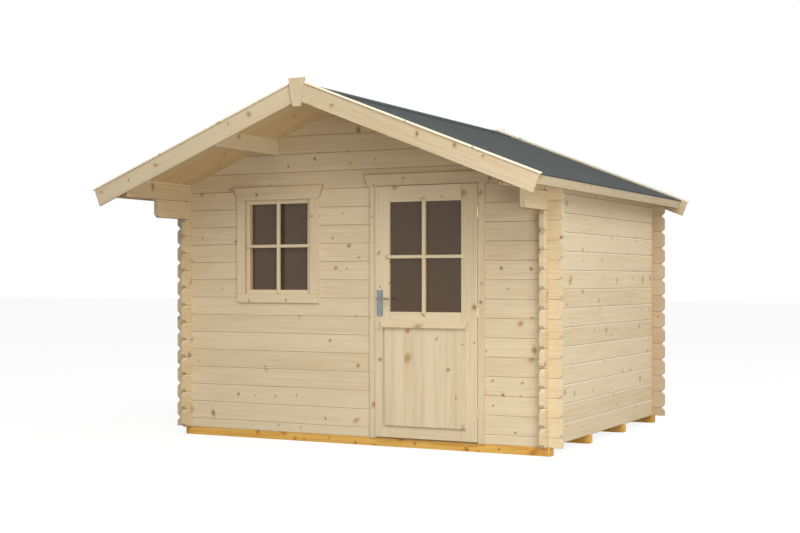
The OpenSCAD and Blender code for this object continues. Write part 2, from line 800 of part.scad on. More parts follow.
module window_outer_trim() {
  y0 = front_y - trim_t;
  y1 = front_y - fit;
  x0 = window_x0 - window_trim_w;
  x1 = window_x1 + window_trim_w;
  color(pine) {
    box(x0, window_x0, y0, y1, window_z0 + fit, window_z1 - fit);
    box(window_x1, x1, y0, y1, window_z0 + fit, window_z1 - fit);
    box(x0, x1, y0, y1, window_z0 - window_sill_w, window_z0);
    head_trim(x0, x1, y0, y1, window_z1, window_head_h, 0, window_head_out);
  }
}

module window_inner_trim() {
  edge = lining_t + fit;
  color(pine) board_ring(window_x0 - edge, window_x1 + edge, window_z0 - edge, window_z1 + edge,
                         window_trim_w - lining_t, front_y + log_t + fit, inner_y);
}

module window_sash() {
  w = sash_lap + sash_show;
  color(pine) board_ring(window_x0 + sash_show, window_x1 - sash_show,
                         window_z0 + sash_show, window_z1 - sash_show, w, sash_y0, sash_y1);
}

module window_glass() {
  y = sash_y0 + window_glass_in;
  edge = sash_show + fit;
  color(pane_tint) box(window_x0 + edge, window_x1 - edge, y, y + glass_t,
                       window_z0 + edge, window_z1 - edge);
}

floor_joists();
floor_boards();
front_wall_left();
front_wall_right();
front_gable();
left_wall();
right_wall();
back_wall();
back_gable();
left_purlin();
right_purlin();
left_roof_deck();
right_roof_deck();
left_roof_felt();
right_roof_felt();
ridge_felt();
left_eaves_board();
right_eaves_board();
front_left_bargeboard();
front_right_bargeboard();
back_left_bargeboard();
back_right_bargeboard();
front_cover_strips();
back_cover_strips();
front_keystone();
back_keystone();
door_frame();
door_threshold();
door_outer_trim();
door_inner_trim();
door_frame_hinges();
door_leaf_frame();
door_panel();
door_glass();
door_drip_board();
door_leaf_hinges();
door_handle_plates();
door_lever();
window_frame();
window_outer_trim();
window_inner_trim();
window_sash();
window_glass();
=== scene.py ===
"""Looks of a log garden house, laid out as a Blender add-on and run as a script.

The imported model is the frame. The timber, felt, glass and metal get their finishes here, and the boards
of the roof, floor and door panel, the glazing bars, the felt sheets and the fixings are made here.
All lengths are in metres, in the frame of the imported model, and every place comes from its nodes.
"""

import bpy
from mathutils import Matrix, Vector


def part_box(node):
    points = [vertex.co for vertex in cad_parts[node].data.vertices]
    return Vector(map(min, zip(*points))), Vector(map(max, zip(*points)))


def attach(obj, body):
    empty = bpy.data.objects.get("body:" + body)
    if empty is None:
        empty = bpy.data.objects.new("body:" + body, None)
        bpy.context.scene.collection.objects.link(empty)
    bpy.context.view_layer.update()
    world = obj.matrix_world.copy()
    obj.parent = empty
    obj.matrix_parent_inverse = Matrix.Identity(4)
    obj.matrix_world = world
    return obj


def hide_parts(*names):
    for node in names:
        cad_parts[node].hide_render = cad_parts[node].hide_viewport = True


bl_info = {
    "name": "Garden House Looks",
    "version": (1, 0, 0),
    "blender": (4, 5, 0),
    "location": "View3D > Sidebar > Garden House",
    "description": "Finishes, boards, glazing bars, felt and fixings of a log garden house",
    "category": "Object",
}

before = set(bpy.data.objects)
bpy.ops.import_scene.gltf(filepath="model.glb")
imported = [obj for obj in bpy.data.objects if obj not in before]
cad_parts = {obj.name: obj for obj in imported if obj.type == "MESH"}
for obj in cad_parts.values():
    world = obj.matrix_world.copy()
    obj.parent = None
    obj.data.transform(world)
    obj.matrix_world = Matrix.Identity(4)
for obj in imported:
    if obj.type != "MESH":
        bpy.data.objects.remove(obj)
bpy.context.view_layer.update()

import math

import bmesh
import bpy
import numpy as np
from bpy.props import FloatProperty, FloatVectorProperty, IntProperty, PointerProperty
from bpy.types import Operator, Panel, PropertyGroup
from mathutils import Color, Vector

X, Y, Z = 0, 1, 2
DOWN, DEPTH, UP = 0, 1, 2  # axes of the roof's slope
MM = 0.001
SIDES = (("left", -1), ("right", 1))
LEAF_GAP = 5 * MM  # all round the door leaf
FACE = 0.5 * MM  # a point this near to a face is on it
LIFT = 0.3 * MM  # keeps a new surface off one that it would lie in
# The numbers of the boards count on from these, and a board's number sets its figure.
SEED = {"walls": 11, "purlins": 511, "joists": 700, "floor": 800, "roof": 900, "bargeboards": 1000,
        "strips": 1200, "eaves": 1300, "keystones": 1400, "door_trim": 1500, "threshold": 1600,
        "window_trim": 1700, "sash": 1800, "door_leaf": 1900, "drip": 2000, "panel": 2100, "bars": 2200}
WIDE = 8.0  # wider than any piece, and so the pitch of a row with one board


# ---------- Places from the frame ----------


def corners(node):
    """Lowest and highest corner of a CAD node as plain tuples."""
    return tuple(tuple(map(float, corner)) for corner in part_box(node))


def low(node, axis):
    """Lowest coordinate of a CAD node along an axis."""
    return corners(node)[0][axis]


def high(node, axis):
    """Highest coordinate of a CAD node along an axis."""
    return corners(node)[1][axis]


def middle(node, axis):
    """Coordinate of the middle of a CAD node along an axis."""
    return (low(node, axis) + high(node, axis)) / 2


def points_of(node):
    """All vertices of a CAD node as an (n, 3) array."""
    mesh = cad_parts[node].data
    points = np.empty(len(mesh.vertices) * 3)
    mesh.vertices.foreach_get("co", points)
    return points.reshape(-1, 3)


def roof_line():
    """Pitch of the roof and height of its underside at the ridge.

    The underside of the right deck runs from its lowest point up to the lower edge of its plumb cut."""
    deck = points_of("right_roof_deck")
    eaves = deck[np.argmin(deck[:, Z])]
    plumb = deck[deck[:, X] < deck[:, X].min() + MM]
    ridge = plumb[np.argmin(plumb[:, Z])]
    pitch = math.atan2(ridge[Z] - eaves[Z], eaves[X] - ridge[X])
    return pitch, float(ridge[Z] + ridge[X] * math.tan(pitch))


PITCH, RIDGE_Z = roof_line()
COS, SIN = math.cos(PITCH), math.sin(PITCH)


def on_slope(side, down, y, up):
    """Points at a distance down the slope from the ridge and up from the roof's underside.

    x is down times the pitch's cosine plus up times its sine, on the given side of the ridge, and z is the
    ridge's height less down times the sine plus up times the cosine."""
    down, y, up = np.broadcast_arrays(down, y, up)
    return np.stack([side * (down * COS + up * SIN), y, RIDGE_Z - down * SIN + up * COS], -1)


def slope_span(node):
    """(lowest, highest) distance down the slope, then the same for the height up from the underside."""
    points = points_of(node)
    x, z = np.abs(points[:, X]), points[:, Z] - RIDGE_Z
    return tuple((float(values.min()), float(values.max()))
                 for values in (x * COS - z * SIN, x * SIN + z * COS))


# ---------- Settings ----------


def tone(red, green, blue):
    """Linear colour, as the nodes take it, of a display colour from 0 to 255."""
    shares = [value / 255 for value in (red, green, blue)]
    return tuple(v / 12.92 if v <= 0.04045 else ((v + 0.055) / 1.055) ** 2.4 for v in shares)


def colour(name, text, *display):
    """A colour setting whose default is a display colour."""
    return FloatVectorProperty(name=name, description=text, subtype="COLOR", size=3,
                               min=0.0, max=1.0, default=tone(*display))


def length(name, text, default, least, most):
    """A length setting in metres."""
    return FloatProperty(name=name, description=text, default=default, min=least, max=most,
                         unit="LENGTH", precision=4)


def spot(name, text, *default):
    """A setting for a place in space."""
    return FloatVectorProperty(name=name, description=text, subtype="TRANSLATION", size=3,
                               default=default)


def amount(name, text, default, most, least=0.0, **kind):
    """A setting for a share, a power or another plain number."""
    return FloatProperty(name=name, description=text, default=default, min=least, max=most, **kind)


def count(name, text, default, least, most):
    """A setting for a number of boards."""
    return IntProperty(name=name, description=text, default=default, min=least, max=most)


class TimberSettings(PropertyGroup):
    """Colours and figure of the timber."""

    pale: colour("Pale wood", "Early wood of the pine logs and boards", 222, 205, 172)
    dark: colour("Dark wood", "Late wood and darker streaks of the pine", 188, 162, 122)
    deck_pale: colour("Pale roof board", "Early wood of the roof boards", 217, 188, 142)
    deck_dark: colour("Dark roof board", "Late wood of the roof boards", 190, 153, 104)
    # A darker copy of the walls' pine: painted shade that tones down the better-lit bargeboards, eaves
    # boards and front keystone.
    barge_painted_shade_pale: colour("Pale bargeboard", "Early wood of the bargeboards and eaves boards", 207, 190, 158)
    barge_painted_shade_dark: colour("Dark bargeboard", "Late wood of the bargeboards and eaves boards", 176, 151, 112)
    # Near-white tone for painted light: a painted highlight on the front cover strips, light painted on the
    # back's strips and keystone, and on the door lining and the leaf's edges in the shaded gap round the
    # leaf.
    planed_painted_light: colour("Planed trim", "Freshly planed cover strips on the bargeboards", 240, 229, 204)
    ends: colour("Milled ends", "Warm tone of the log ends past the corners", 255, 251, 243)
    back_ends: colour("Back ends", "Tone of the back wall's milled ends", 234, 227, 225)
    # Darker tone of the sawn ends: end grain, and painted shade where a lit end shows under a bargeboard.
    sawn: colour("Sawn end", "Shade of the sawn ends of the side walls' logs", 178, 158, 132)
    # Near-white tone of the back's strips and keystone: painted light on faces that lie in shade.
    bright: colour("Pale trim", "Pale sapwood of the back's strips and keystone", 249, 241, 224)
    knot: colour("Knot", "Heart of a knot in the pine", 106, 79, 46)
    red_knot: colour("Red knot", "Heart of a resinous knot", 149, 101, 63)
    # Dark joint tone, also used as painted shadow under the side walls' logs and round the trims' head
    # boards.
    seam: colour("Seam", "Fresh wood in the groove between two logs or boards", 168, 128, 84)
    # Painted highlight along the top edge of each log and board.
    crest_painted_highlight: colour("Crest", "Planed top edge of a log or board, where it catches the light", 255, 250, 232)
    joist_pale: colour("Treated wood", "Early wood of the pressure-treated joists", 232, 188, 100)
    joist_dark: colour("Treated streaks", "Late wood of the pressure-treated joists", 196, 136, 52)
    ring_gap: length("Ring spacing", "Distance between two growth rings", 0.0055, 0.001, 0.02)
    course_h: length("Course height", "Visible height of one course of logs", 0.135, 0.1, 0.2)
    knot_share: amount("Knots", "Share of the places for a knot that have one", 0.45, 1.0, subtype="FACTOR")


class RoofSettings(PropertyGroup):
    """Felt and boards of the roof and floor."""

    felt: colour("Felt", "Mineral grit on the roofing felt", 73, 78, 77)
    # Dark band at the felt's edges: tarred edge, and painted shadow.
    tar_and_painted_shadow: colour("Tar", "Bare tarred edge of the felt", 52, 56, 58)
    clout: colour("Clout nail", "Dull galvanised heads of the nails in the felt", 112, 115, 114)
    selvedge_w: length("Selvedge", "Width of the bare tarred edge of the felt", 0.042, 0.005, 0.08)
    sheet_w: length("Felt sheet", "Width of a felt sheet that shows", 0.9, 0.3, 1.0)
    board_w: length("Roof board", "Cover width of a roof board", 0.095, 0.07, 0.15)
    floor_boards: count("Floor boards", "Number of boards across the floor", 22, 8, 40)


class DoorSettings(PropertyGroup):
    """Small parts of the door and window."""

    panel_boards: count("Panel boards", "Number of boards in the door's panel", 8, 4, 12)
    bar_w: length("Glazing bar", "Width of a glazing bar", 0.024, 0.015, 0.04)
    door_bar_t: length("Door bar", "Depth of a door bar in front of the leaf", 0.020, 0.006, 0.03)
    window_bar_t: length("Window bar", "Depth of a window bar in front of the sash", 0.011, 0.006, 0.02)
    bar_lap: length("Bar lap", "Lap of a glazing bar over the door's stiles and rails", 0.028, 0.01, 0.04)
    glass: colour("Glass", "Tint of the panes", 158, 131, 102)
    dust: colour("Dust", "Dust and water marks on the panes", 160, 130, 100)
    steel: colour("Handle steel", "Satin steel of the handle plates", 140, 146, 150)
    lever: colour("Lever", "Brushed metal of the lever", 152, 144, 132)
    zinc: colour("Zinc", "Zinc-plated screws and nails", 188, 180, 162)
    brass: colour("Passivated zinc", "Pale yellow plating of the hinges", 206, 190, 146)


class StageSettings(PropertyGroup):
    """Camera and light."""

    camera: spot("Camera", "Place of the camera", 4.7815, -9.5545, 1.2119)
    heading: FloatProperty(name="Heading", description="Turn of the level camera from looking along +Y",
                           subtype="ANGLE", default=math.radians(27.1))
    lens: amount("Lens", "Focal length in millimetres", 60.39, 120.0, 20.0)
    rise: amount("Shift", "Vertical shift of the lens", 0.0161, 0.2, -0.2)
    sky: amount("Room light", "Strength of the even light from all sides", 0.485, 2.0)
    bounce: amount("Floor bounce", "Share of the light the floor throws back up", 0.35, 1.0)
    key: amount("Key light", "Power of the soft lamp in front", 745.0, 9000.0, unit="POWER")
    key_place: spot("Key place", "Place of the soft lamp in front", 3.8, -8.5, 8.0)
    side: amount("Side light", "Power of the soft lamp on the right", 318.0, 9000.0, unit="POWER")
    side_place: spot("Side place", "Place of the soft lamp on the right", 8.7, 2.4, 6.8)
    low: amount("Low light", "Power of the low lamp that lights the porch", 165.0, 9000.0, unit="POWER")
    low_place: spot("Low place", "Place of the low lamp", 5.45, -5.1, 0.9)
    aim: spot("Aim", "Point that the lamps face", 0.0, 0.0, 1.2)


SETTINGS = {"gh_timber": TimberSettings, "gh_roof": RoofSettings, "gh_door": DoorSettings,
            "gh_stage": StageSettings}


# ---------- Surfaces ----------


def lofted(rings, closed=False):
    """Points and faces of solids lofted through rings.

    rings has the shape (solids, rings, points around, 3). Quads join each ring to the next by the same
    place around, and a cap closes each end, or the last ring joins the first if the loft is closed."""
    rings = np.asarray(rings, float)
    solids, stations, around, _ = rings.shape
    start = np.arange(solids)[:, None, None] * stations * around
    row = np.arange(stations if closed else stations - 1)[None, :, None]
    next_row = start + (row + 1) % stations * around
    row = start + row * around
    a = np.arange(around)[None, None, :]
    b = (a + 1) % around
    faces = np.stack([row + a, row + b, next_row + b, next_row + a], -1).reshape(-1, 4).tolist()
    if not closed:
        faces += (start[:, 0] + np.arange(around)[::-1]).tolist()
        faces += (start[:, 0] + (stations - 1) * around + np.arange(around)).tolist()
    return rings.reshape(-1, 3), faces


def joined(parts):
    """Points and faces of several parts as one set: each part's faces count on from the points before."""
    points, faces, before = [], [], 0
    for part_points, part_faces in parts:
        points.append(part_points)
        faces += [[i + before for i in face] for face in part_faces]
        before += len(part_points)
    return np.concatenate(points), faces


def new_object(name, data, place=(0, 0, 0), turn=(0, 0, 0)):
    """Object in the scene at a place, turned by Euler angles."""
    made = bpy.data.objects.new(name, data)
    made.location, made.rotation_euler = place, turn
    bpy.context.scene.collection.objects.link(made)
    return made


def add_piece(name, surface, body, slot, material, replaced=()):
    """Object at the origin that holds the points and faces, rides on a body and has one material."""
    points, faces = surface
    mesh = bpy.data.meshes.new(name)
    mesh.from_pydata(points.tolist(), [], faces)
    skin = bmesh.new()
    skin.from_mesh(mesh)
    bmesh.ops.recalc_face_normals(skin, faces=skin.faces)
    skin.to_mesh(mesh)
    skin.free()
    mesh.materials.append(material)
    piece = new_object(name, mesh)
    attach(piece, body)
    if replaced:
        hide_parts(*replaced)


def finish_nodes(nodes, material):
    """Gives CAD nodes one material in place of what they came with."""
    for name in nodes:
        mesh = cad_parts[name].data
        mesh.materials.clear()
        mesh.materials.append(material)


def board_row(start, end, boards, thick, cut, gap=0.2 * MM):
    """Sections of a row of equal boards between start and end, as (across, up) arrays (board, point).

    A section is a rectangle whose seen face, at up = thick, has its two long edges chamfered by cut, so
    that two boards side by side show a V."""
    pitch = (end - start) / boards
    width, shoulder = pitch - gap, thick - cut
    section = np.array([(0, 0), (width, 0), (width, shoulder), (width - cut, thick), (cut, thick),
                        (0, shoulder)])
    across = (start + gap / 2 + np.arange(boards) * pitch)[:, None] + section[:, 0]
    return across, np.broadcast_to(section[:, 1], across.shape)


def turned(places, normal, profile, around=8):
    """Solids of revolution at places: each ring is a circle of radius r at height h along the normal.

    A point is the place plus r times (cos t, sin t) in the plane across the normal, plus h along it."""
    normal = np.asarray(normal, float) / np.linalg.norm(normal)
    side = np.cross(normal, (0.0, 0.0, 1.0) if abs(normal[Z]) < 0.9 else (1.0, 0.0, 0.0))
    side /= np.linalg.norm(side)
    angle = np.linspace(0, 2 * math.pi, around, endpoint=False)
    circle = np.cos(angle)[:, None] * side + np.sin(angle)[:, None] * np.cross(normal, side)
    radius, height = profile.T
    rings = radius[:, None, None] * circle + height[:, None, None] * normal
    return lofted(np.asarray(places)[:, None, None, :] + rings)


# ---------- Shader nodes ----------


def arithmetic(operation, swapped=False):
    """Method that feeds a signal and the other values into a Math node."""
    def method(self, *others):
        return self.tree.math(operation, *((*others, self) if swapped else (self, *others)))
    return method


class Signal:
    """Output socket whose arithmetic adds Math nodes to its tree."""

    def __init__(self, tree, socket):
        self.tree, self.socket = tree, socket

    __add__ = __radd__ = arithmetic("ADD")
    __mul__ = __rmul__ = arithmetic("MULTIPLY")
    __sub__, __rsub__ = arithmetic("SUBTRACT"), arithmetic("SUBTRACT", swapped=True)
    __truediv__, __pow__ = arithmetic("DIVIDE"), arithmetic("POWER")
    __lt__, __gt__ = arithmetic("LESS_THAN"), arithmetic("GREATER_THAN")
    __abs__, floor, fraction = arithmetic("ABSOLUTE"), arithmetic("FLOOR"), arithmetic("FRACT")
    least, most = arithmetic("MINIMUM"), arithmetic("MAXIMUM")

    def swing(self, width):
        """Goes from half the width below 0 to half the width above it, as the signal goes from 0 to 1."""
        return (self - 0.5) * width

    def near(self, first, last):
        """Distance from the nearer of two places."""
        return abs(self - first).least(abs(self - last))


class Outputs:
    """Output sockets of a node as signals, by name or number."""

    def __init__(self, tree, sockets):
        self.tree, self.sockets = tree, sockets

    def __getitem__(self, key):
        return Signal(self.tree, self.sockets[key])


class Tree:
    """Adds nodes to an emptied shader tree; a signal, a number, a tuple or a colour may feed any input."""

    def __init__(self, tree):
        self.nodes, self.links = tree.nodes, tree.links
        self.nodes.clear()

    def node(self, kind, inputs=(), **settings):
        """Adds a shader node or a group's input or output node, and gives its outputs."""
        made = self.nodes.new(kind if kind.startswith("NodeGroup") else "ShaderNode" + kind)
        for key, value in settings.items():
            setattr(made, key, value)
        for key, value in dict(inputs).items():
            if isinstance(value, Signal):
                self.links.new(value.socket, made.inputs[key])
            else:
                made.inputs[key].default_value = (*value, 1.0) if isinstance(value, Color) else value
        return Outputs(self, made.outputs)

    def group(self, name, inputs):
        return self.node("Group", inputs, node_tree=bpy.data.node_groups[name])

    def math(self, operation, *values):
        return self.node("Math", dict(enumerate(values)), operation=operation)[0]

    def vector(self, operation, *values):
        made = self.node("VectorMath", dict(enumerate(values)), operation=operation)
        return made["Value" if operation == "LENGTH" else "Vector"]

    def combine(self, *values):
        return self.node("CombineXYZ", dict(enumerate(values)))[0]

    def separate(self, vector):
        return self.node("SeparateXYZ", {0: vector})

    def noise(self, point, scale=1.0, detail=2.0, roughness=0.5, output=0, stretch=None):
        """Soft noise whose point may first be multiplied by a stretch, axis by axis."""
        point = self.vector("MULTIPLY", point, stretch) if stretch else point
        return self.node("TexNoise", {"Vector": point, "Scale": scale, "Detail": detail,
                                                "Roughness": roughness})[output]

    def ramp(self, value, start, end, low=0.0, high=1.0):
        """Smooth step from low, where value is at start, to high, where it is at end."""
        inputs = {"Value": value, "From Min": start, "From Max": end, "To Min": low, "To Max": high}
        return self.node("MapRange", inputs, interpolation_type="SMOOTHSTEP")[0]

    def mix(self, factor, a, b, blend="MIX"):
        return self.node("Mix", {0: factor, 6: a, 7: b}, data_type="RGBA", blend_type=blend)[2]

    def show(self, factor, first, second, output="OutputMaterial"):
        """Mixes two shaders into the tree's output."""
        mixed = self.node("MixShader", {0: factor, 1: first[0], 2: second[0]})
        self.node(output, {"Surface": mixed[0]})

    def coat(self, effect, bump, depth, colour=None, roughness=None, specular=0.5, metallic=0.0):
        """Principled surface with the colour, roughness and relief of a shared effect, as the output."""
        relief = self.node("Bump", {"Height": effect["Height"], "Strength": bump, "Distance": depth})
        surface = self.node("BsdfPrincipled", {
            "Base Color": colour or effect["Colour"], "Roughness": roughness or effect["Roughness"],
            "Normal": relief[0], "Specular IOR Level": specular, "Metallic": metallic})
        self.node("OutputMaterial", {"Surface": surface[0]})


WHITE = (1.0, 1.0, 1.0, 1.0)
ORIGIN = (0.0, 0.0, 0.0)


def new_group(name, inputs, outputs):
    """Node group with the given inputs, as names with defaults, and outputs, as names with kinds."""
    group = bpy.data.node_groups.new(name, "ShaderNodeTree")
    for label, default in inputs.items():
        kind = "Float" if isinstance(default, float) else "Vector" if len(default) == 3 else "Color"
        socket = group.interface.new_socket(label, in_out="INPUT", socket_type="NodeSocket" + kind)
        socket.default_value = default
    for label, kind in outputs.items():
        group.interface.new_socket(label, in_out="OUTPUT", socket_type="NodeSocket" + kind)
    tree = Tree(group)
    return tree, tree.node("NodeGroupInput")


def build_board_group():
    """Group that tells which board of a row a point is in.

    The number is the whole part of (across - start) / pitch. The point is given back with its second
    coordinate measured from the middle of that board, and its third from the middle of its thickness.
    Foot is 1 on a board's first edge and top on its other edge, and both fall to 0 over the line."""
    tree, given = new_group(
        "board_in_row",
        {"Point": ORIGIN, "Start": 0.0, "Pitch": 0.1, "Middle": 0.0, "Line": 0.005, "Seed": 0.0},
        {"Point": "Vector", "Number": "Float", "Foot": "Float", "Top": "Float"})
    along, across, through = tree.separate(given["Point"])
    pitch, line = given["Pitch"], given["Line"]
    share = (across - given["Start"]) / pitch
    number = share.floor()
    from_foot = (share - number) * pitch
    tree.node("NodeGroupOutput", {
        "Point": tree.combine(along, from_foot - pitch * 0.5, through - given["Middle"]),
        "Number": number + given["Seed"], "Foot": tree.ramp(from_foot, line, 0.0),
        "Top": tree.ramp(pitch - from_foot, line, 0.0)})


def build_frame_group():
    """Group for a frame of boards whose uprights stand beside a rectangle and whose rails lie over and
    under it: the point is given with its first coordinate along the board and its third from the middle
    of the thickness, and each board has a number. The joint is 1 where an upright meets a rail."""
    tree, given = new_group(
        "board_in_frame",
        {"Point": ORIGIN, "Left": 0.0, "Right": 1.0, "Foot": 0.0, "Top": 1.0, "Middle": 0.0,
         "Line": 0.003, "Seed": 0.0},
        {"Point": "Vector", "Number": "Float", "Joint": "Float"})
    x, y, z = tree.separate(given["Point"])
    left, right, foot, top, line = (given[name] for name in ("Left", "Right", "Foot", "Top", "Line"))
    beside = (x < left) + (x > right)
    between = (z > foot) * (z < top)
    upright = beside * between
    number = tree.node("Mix", {0: upright, 2: (z > top) + 3.0, 3: (x > right) + 1.0})[0]
    inside = y - given["Middle"]
    point = tree.node("Mix", {0: upright, 4: tree.combine(x, z, inside),
                                        5: tree.combine(z, x, inside)}, data_type="VECTOR")[1]
    near_end = tree.ramp(z.near(foot, top), line, 0.0) * beside
    near_side = tree.ramp(x.near(left, right), line, 0.0) * between
    tree.node("NodeGroupOutput", {"Point": point, "Number": number + given["Seed"],
                                  "Joint": near_end.most(near_side)})


def build_timber_group():
    """Group for sawn softwood: growth rings round a pith beside the board, fibres, streaks and knots.

    The rings are the fraction of the distance from the pith over the ring spacing, with slow noise along
    the board, so that a flat cut shows long arches and an end shows arcs. A knot lies at a random place of
    each cell of a 2-D cell pattern along and across the board, and the rings bend round it."""
    tree, given = new_group(
        "sawn_timber",
        {"Point": ORIGIN, "Number": 0.0, "Pale": WHITE, "Dark": WHITE, "Knot": WHITE, "Red knot": WHITE,
         "Ring gap": 0.005, "Knots": 0.4, "Knot cell": (0.22, 0.13, 1.0), "Figure": 0.5},
        {"Colour": "Color", "Height": "Float", "Roughness": "Float"})
    chance = tree.node("TexWhiteNoise", {"W": given["Number"]}, noise_dimensions="1D")
    first, second, third = tree.separate(chance["Color"])
    x, y, z = tree.separate(given["Point"])
    along = first * 37.0 + x
    point = tree.combine(along, y, z)
    heart, halo, tint = knots_in(tree, given, along, y, point)
    # The pith lies up to 50 mm to a side and 35 mm to 105 mm behind, and sways by up to 17 mm.
    sway = tree.noise(point, detail=1.0, output=1, stretch=(0.8, 3.0, 3.0))
    sway_y, sway_z, sway_tone = tree.separate(sway)
    from_y = y - (second * 0.10 - 0.05) + sway_y.swing(0.035)
    from_z = z + (abs(third - 0.5) * 0.14 + 0.035) + sway_z.swing(0.035)
    radius = tree.vector("LENGTH", tree.combine(0.0, from_y, from_z))
    ring = (halo * 1.1 + radius / given["Ring gap"]).fraction()
    late = ring ** 2.5 * tree.ramp(ring, 1.0, 0.92)
    # Fibres are fine and long, streaks broader, and patches a hand wide.
    fibre = tree.noise(point, stretch=(6.0, 420.0, 420.0))
    streak = tree.noise(point, detail=3.0, roughness=0.6, stretch=(1.7, 55.0, 55.0))
    patch = tree.noise(point, detail=3.0, roughness=0.6, stretch=(5.0, 16.0, 16.0))
    # The dark share rises with late wood, knots and each noise; the third chance gives a board its own tone.
    shade = (late * given["Figure"] + (third * 0.26 - 0.03) + fibre.swing(0.30) + streak.swing(0.85)
             + sway_tone.swing(0.50) + halo * 0.60)
    wood = tree.mix(shade, given["Pale"], given["Dark"])
    for end, stain in ((0.75, (1.0, 0.95, 0.89, 1.0)), (0.25, (0.97, 0.98, 0.92, 1.0))):
        wood = tree.mix(tree.ramp(patch, 0.48, end), wood, stain, "MULTIPLY")
    core = tree.mix(tree.ramp(tint, 0.55, 0.25), given["Knot"], given["Red knot"])
    tree.node("NodeGroupOutput", {
        "Colour": tree.mix(heart * (tint * 0.40 + 0.48), wood, core),
        "Height": fibre * 0.5 + late * 0.35 - heart * 0.6,
        "Roughness": fibre * 0.16 + 0.56 - heart * 0.16})


def knots_in(tree, given, along, across, point, least=4.5 * MM, growth=14 * MM):
    """Heart and halo of the knot nearest to a point, and how dark it is.

    Most knots are pin knots, because their size rises with the third power of a random share. Each is
    drawn out along or across the board, and slow noise makes its edge ragged."""
    cell = given["Knot cell"]
    scaled = tree.vector("DIVIDE", tree.combine(along, across, 0.0), cell)
    scaled = tree.vector("ADD", scaled, tree.combine(0.0, given["Number"] * 3.7, 0.0))
    cells = tree.node("TexVoronoi", {"Vector": scaled, "Scale": 1.0, "Randomness": 1.0},
                      voronoi_dimensions="2D", feature="F1")
    offset = tree.vector("MULTIPLY", tree.vector("SUBTRACT", cells["Position"], scaled), cell)
    size_chance, there_chance, tint = tree.separate(cells["Color"])
    off_along, off_across, _ = tree.separate(offset)
    shaped = tree.combine(off_along * (tint * 0.9 + 0.6), off_across + tint.swing(1.0) * off_along, 0.0)
    ragged = tree.noise(point, scale=170.0, detail=1.5)
    distance = ragged.swing(8 * MM) + tree.vector("LENGTH", shaped)
    reach = distance / (size_chance ** 3.0 * growth + least)
    there = there_chance < given["Knots"]
    core = tree.ramp(reach, 1.35, 0.75)
    faded = core * (1.0 - tree.ramp(size_chance, 0.6, 1.0, 0.0, 0.35) * core)
    return faded * there, tree.ramp(reach, 3.2, 0.9) * there, tint


def build_grit_group():
    """Group for fine grit and blotches: sharp cells of one grain each, and slow noise over many."""
    tree, given = new_group(
        "mineral_grit", {"Point": ORIGIN, "Grain": 0.002, "Base": WHITE, "Contrast": 0.5},
        {"Colour": "Color", "Height": "Float"})
    point = given["Point"]
    fine = tree.vector("DIVIDE", point, given["Grain"])
    cells = tree.node("TexVoronoi", {"Vector": fine, "Scale": 1.0})
    grain, _, _ = tree.separate(cells["Color"])
    value = (grain.swing(given["Contrast"]) + tree.noise(point, scale=3.0, detail=4.0).swing(0.45)
             + tree.noise(point, scale=60.0).swing(0.25) + 1.0)
    tree.node("NodeGroupOutput", {"Colour": tree.vector("MULTIPLY", given["Base"], value),
                                  "Height": 1.0 - cells["Distance"]})


def build_metal_group():
    """Group for plated or brushed metal: long fine scratches and slow stains in tone and roughness."""
    tree, given = new_group(
        "worn_metal", {"Point": ORIGIN, "Base": WHITE, "Roughness": 0.35},
        {"Colour": "Color", "Roughness": "Float", "Height": "Float"})
    brushed = tree.noise(given["Point"], detail=1.0, stretch=(1800.0, 1800.0, 60.0))
    stain = tree.noise(given["Point"], scale=45.0, detail=3.0)
    tree.node("NodeGroupOutput", {
        "Colour": tree.vector("MULTIPLY", given["Base"], stain.swing(0.5) + 1.0),
        "Roughness": given["Roughness"] + stain.swing(0.35) + brushed.swing(0.15), "Height": brushed})


# ---------- Materials ----------


def new_material(name):
    """Material, its emptied tree and the point in Object coordinates."""
    material = bpy.data.materials.new(name)
    material.use_nodes = True
    tree = Tree(material.node_tree)
    return material, tree, tree.node("TexCoord")["Object"]


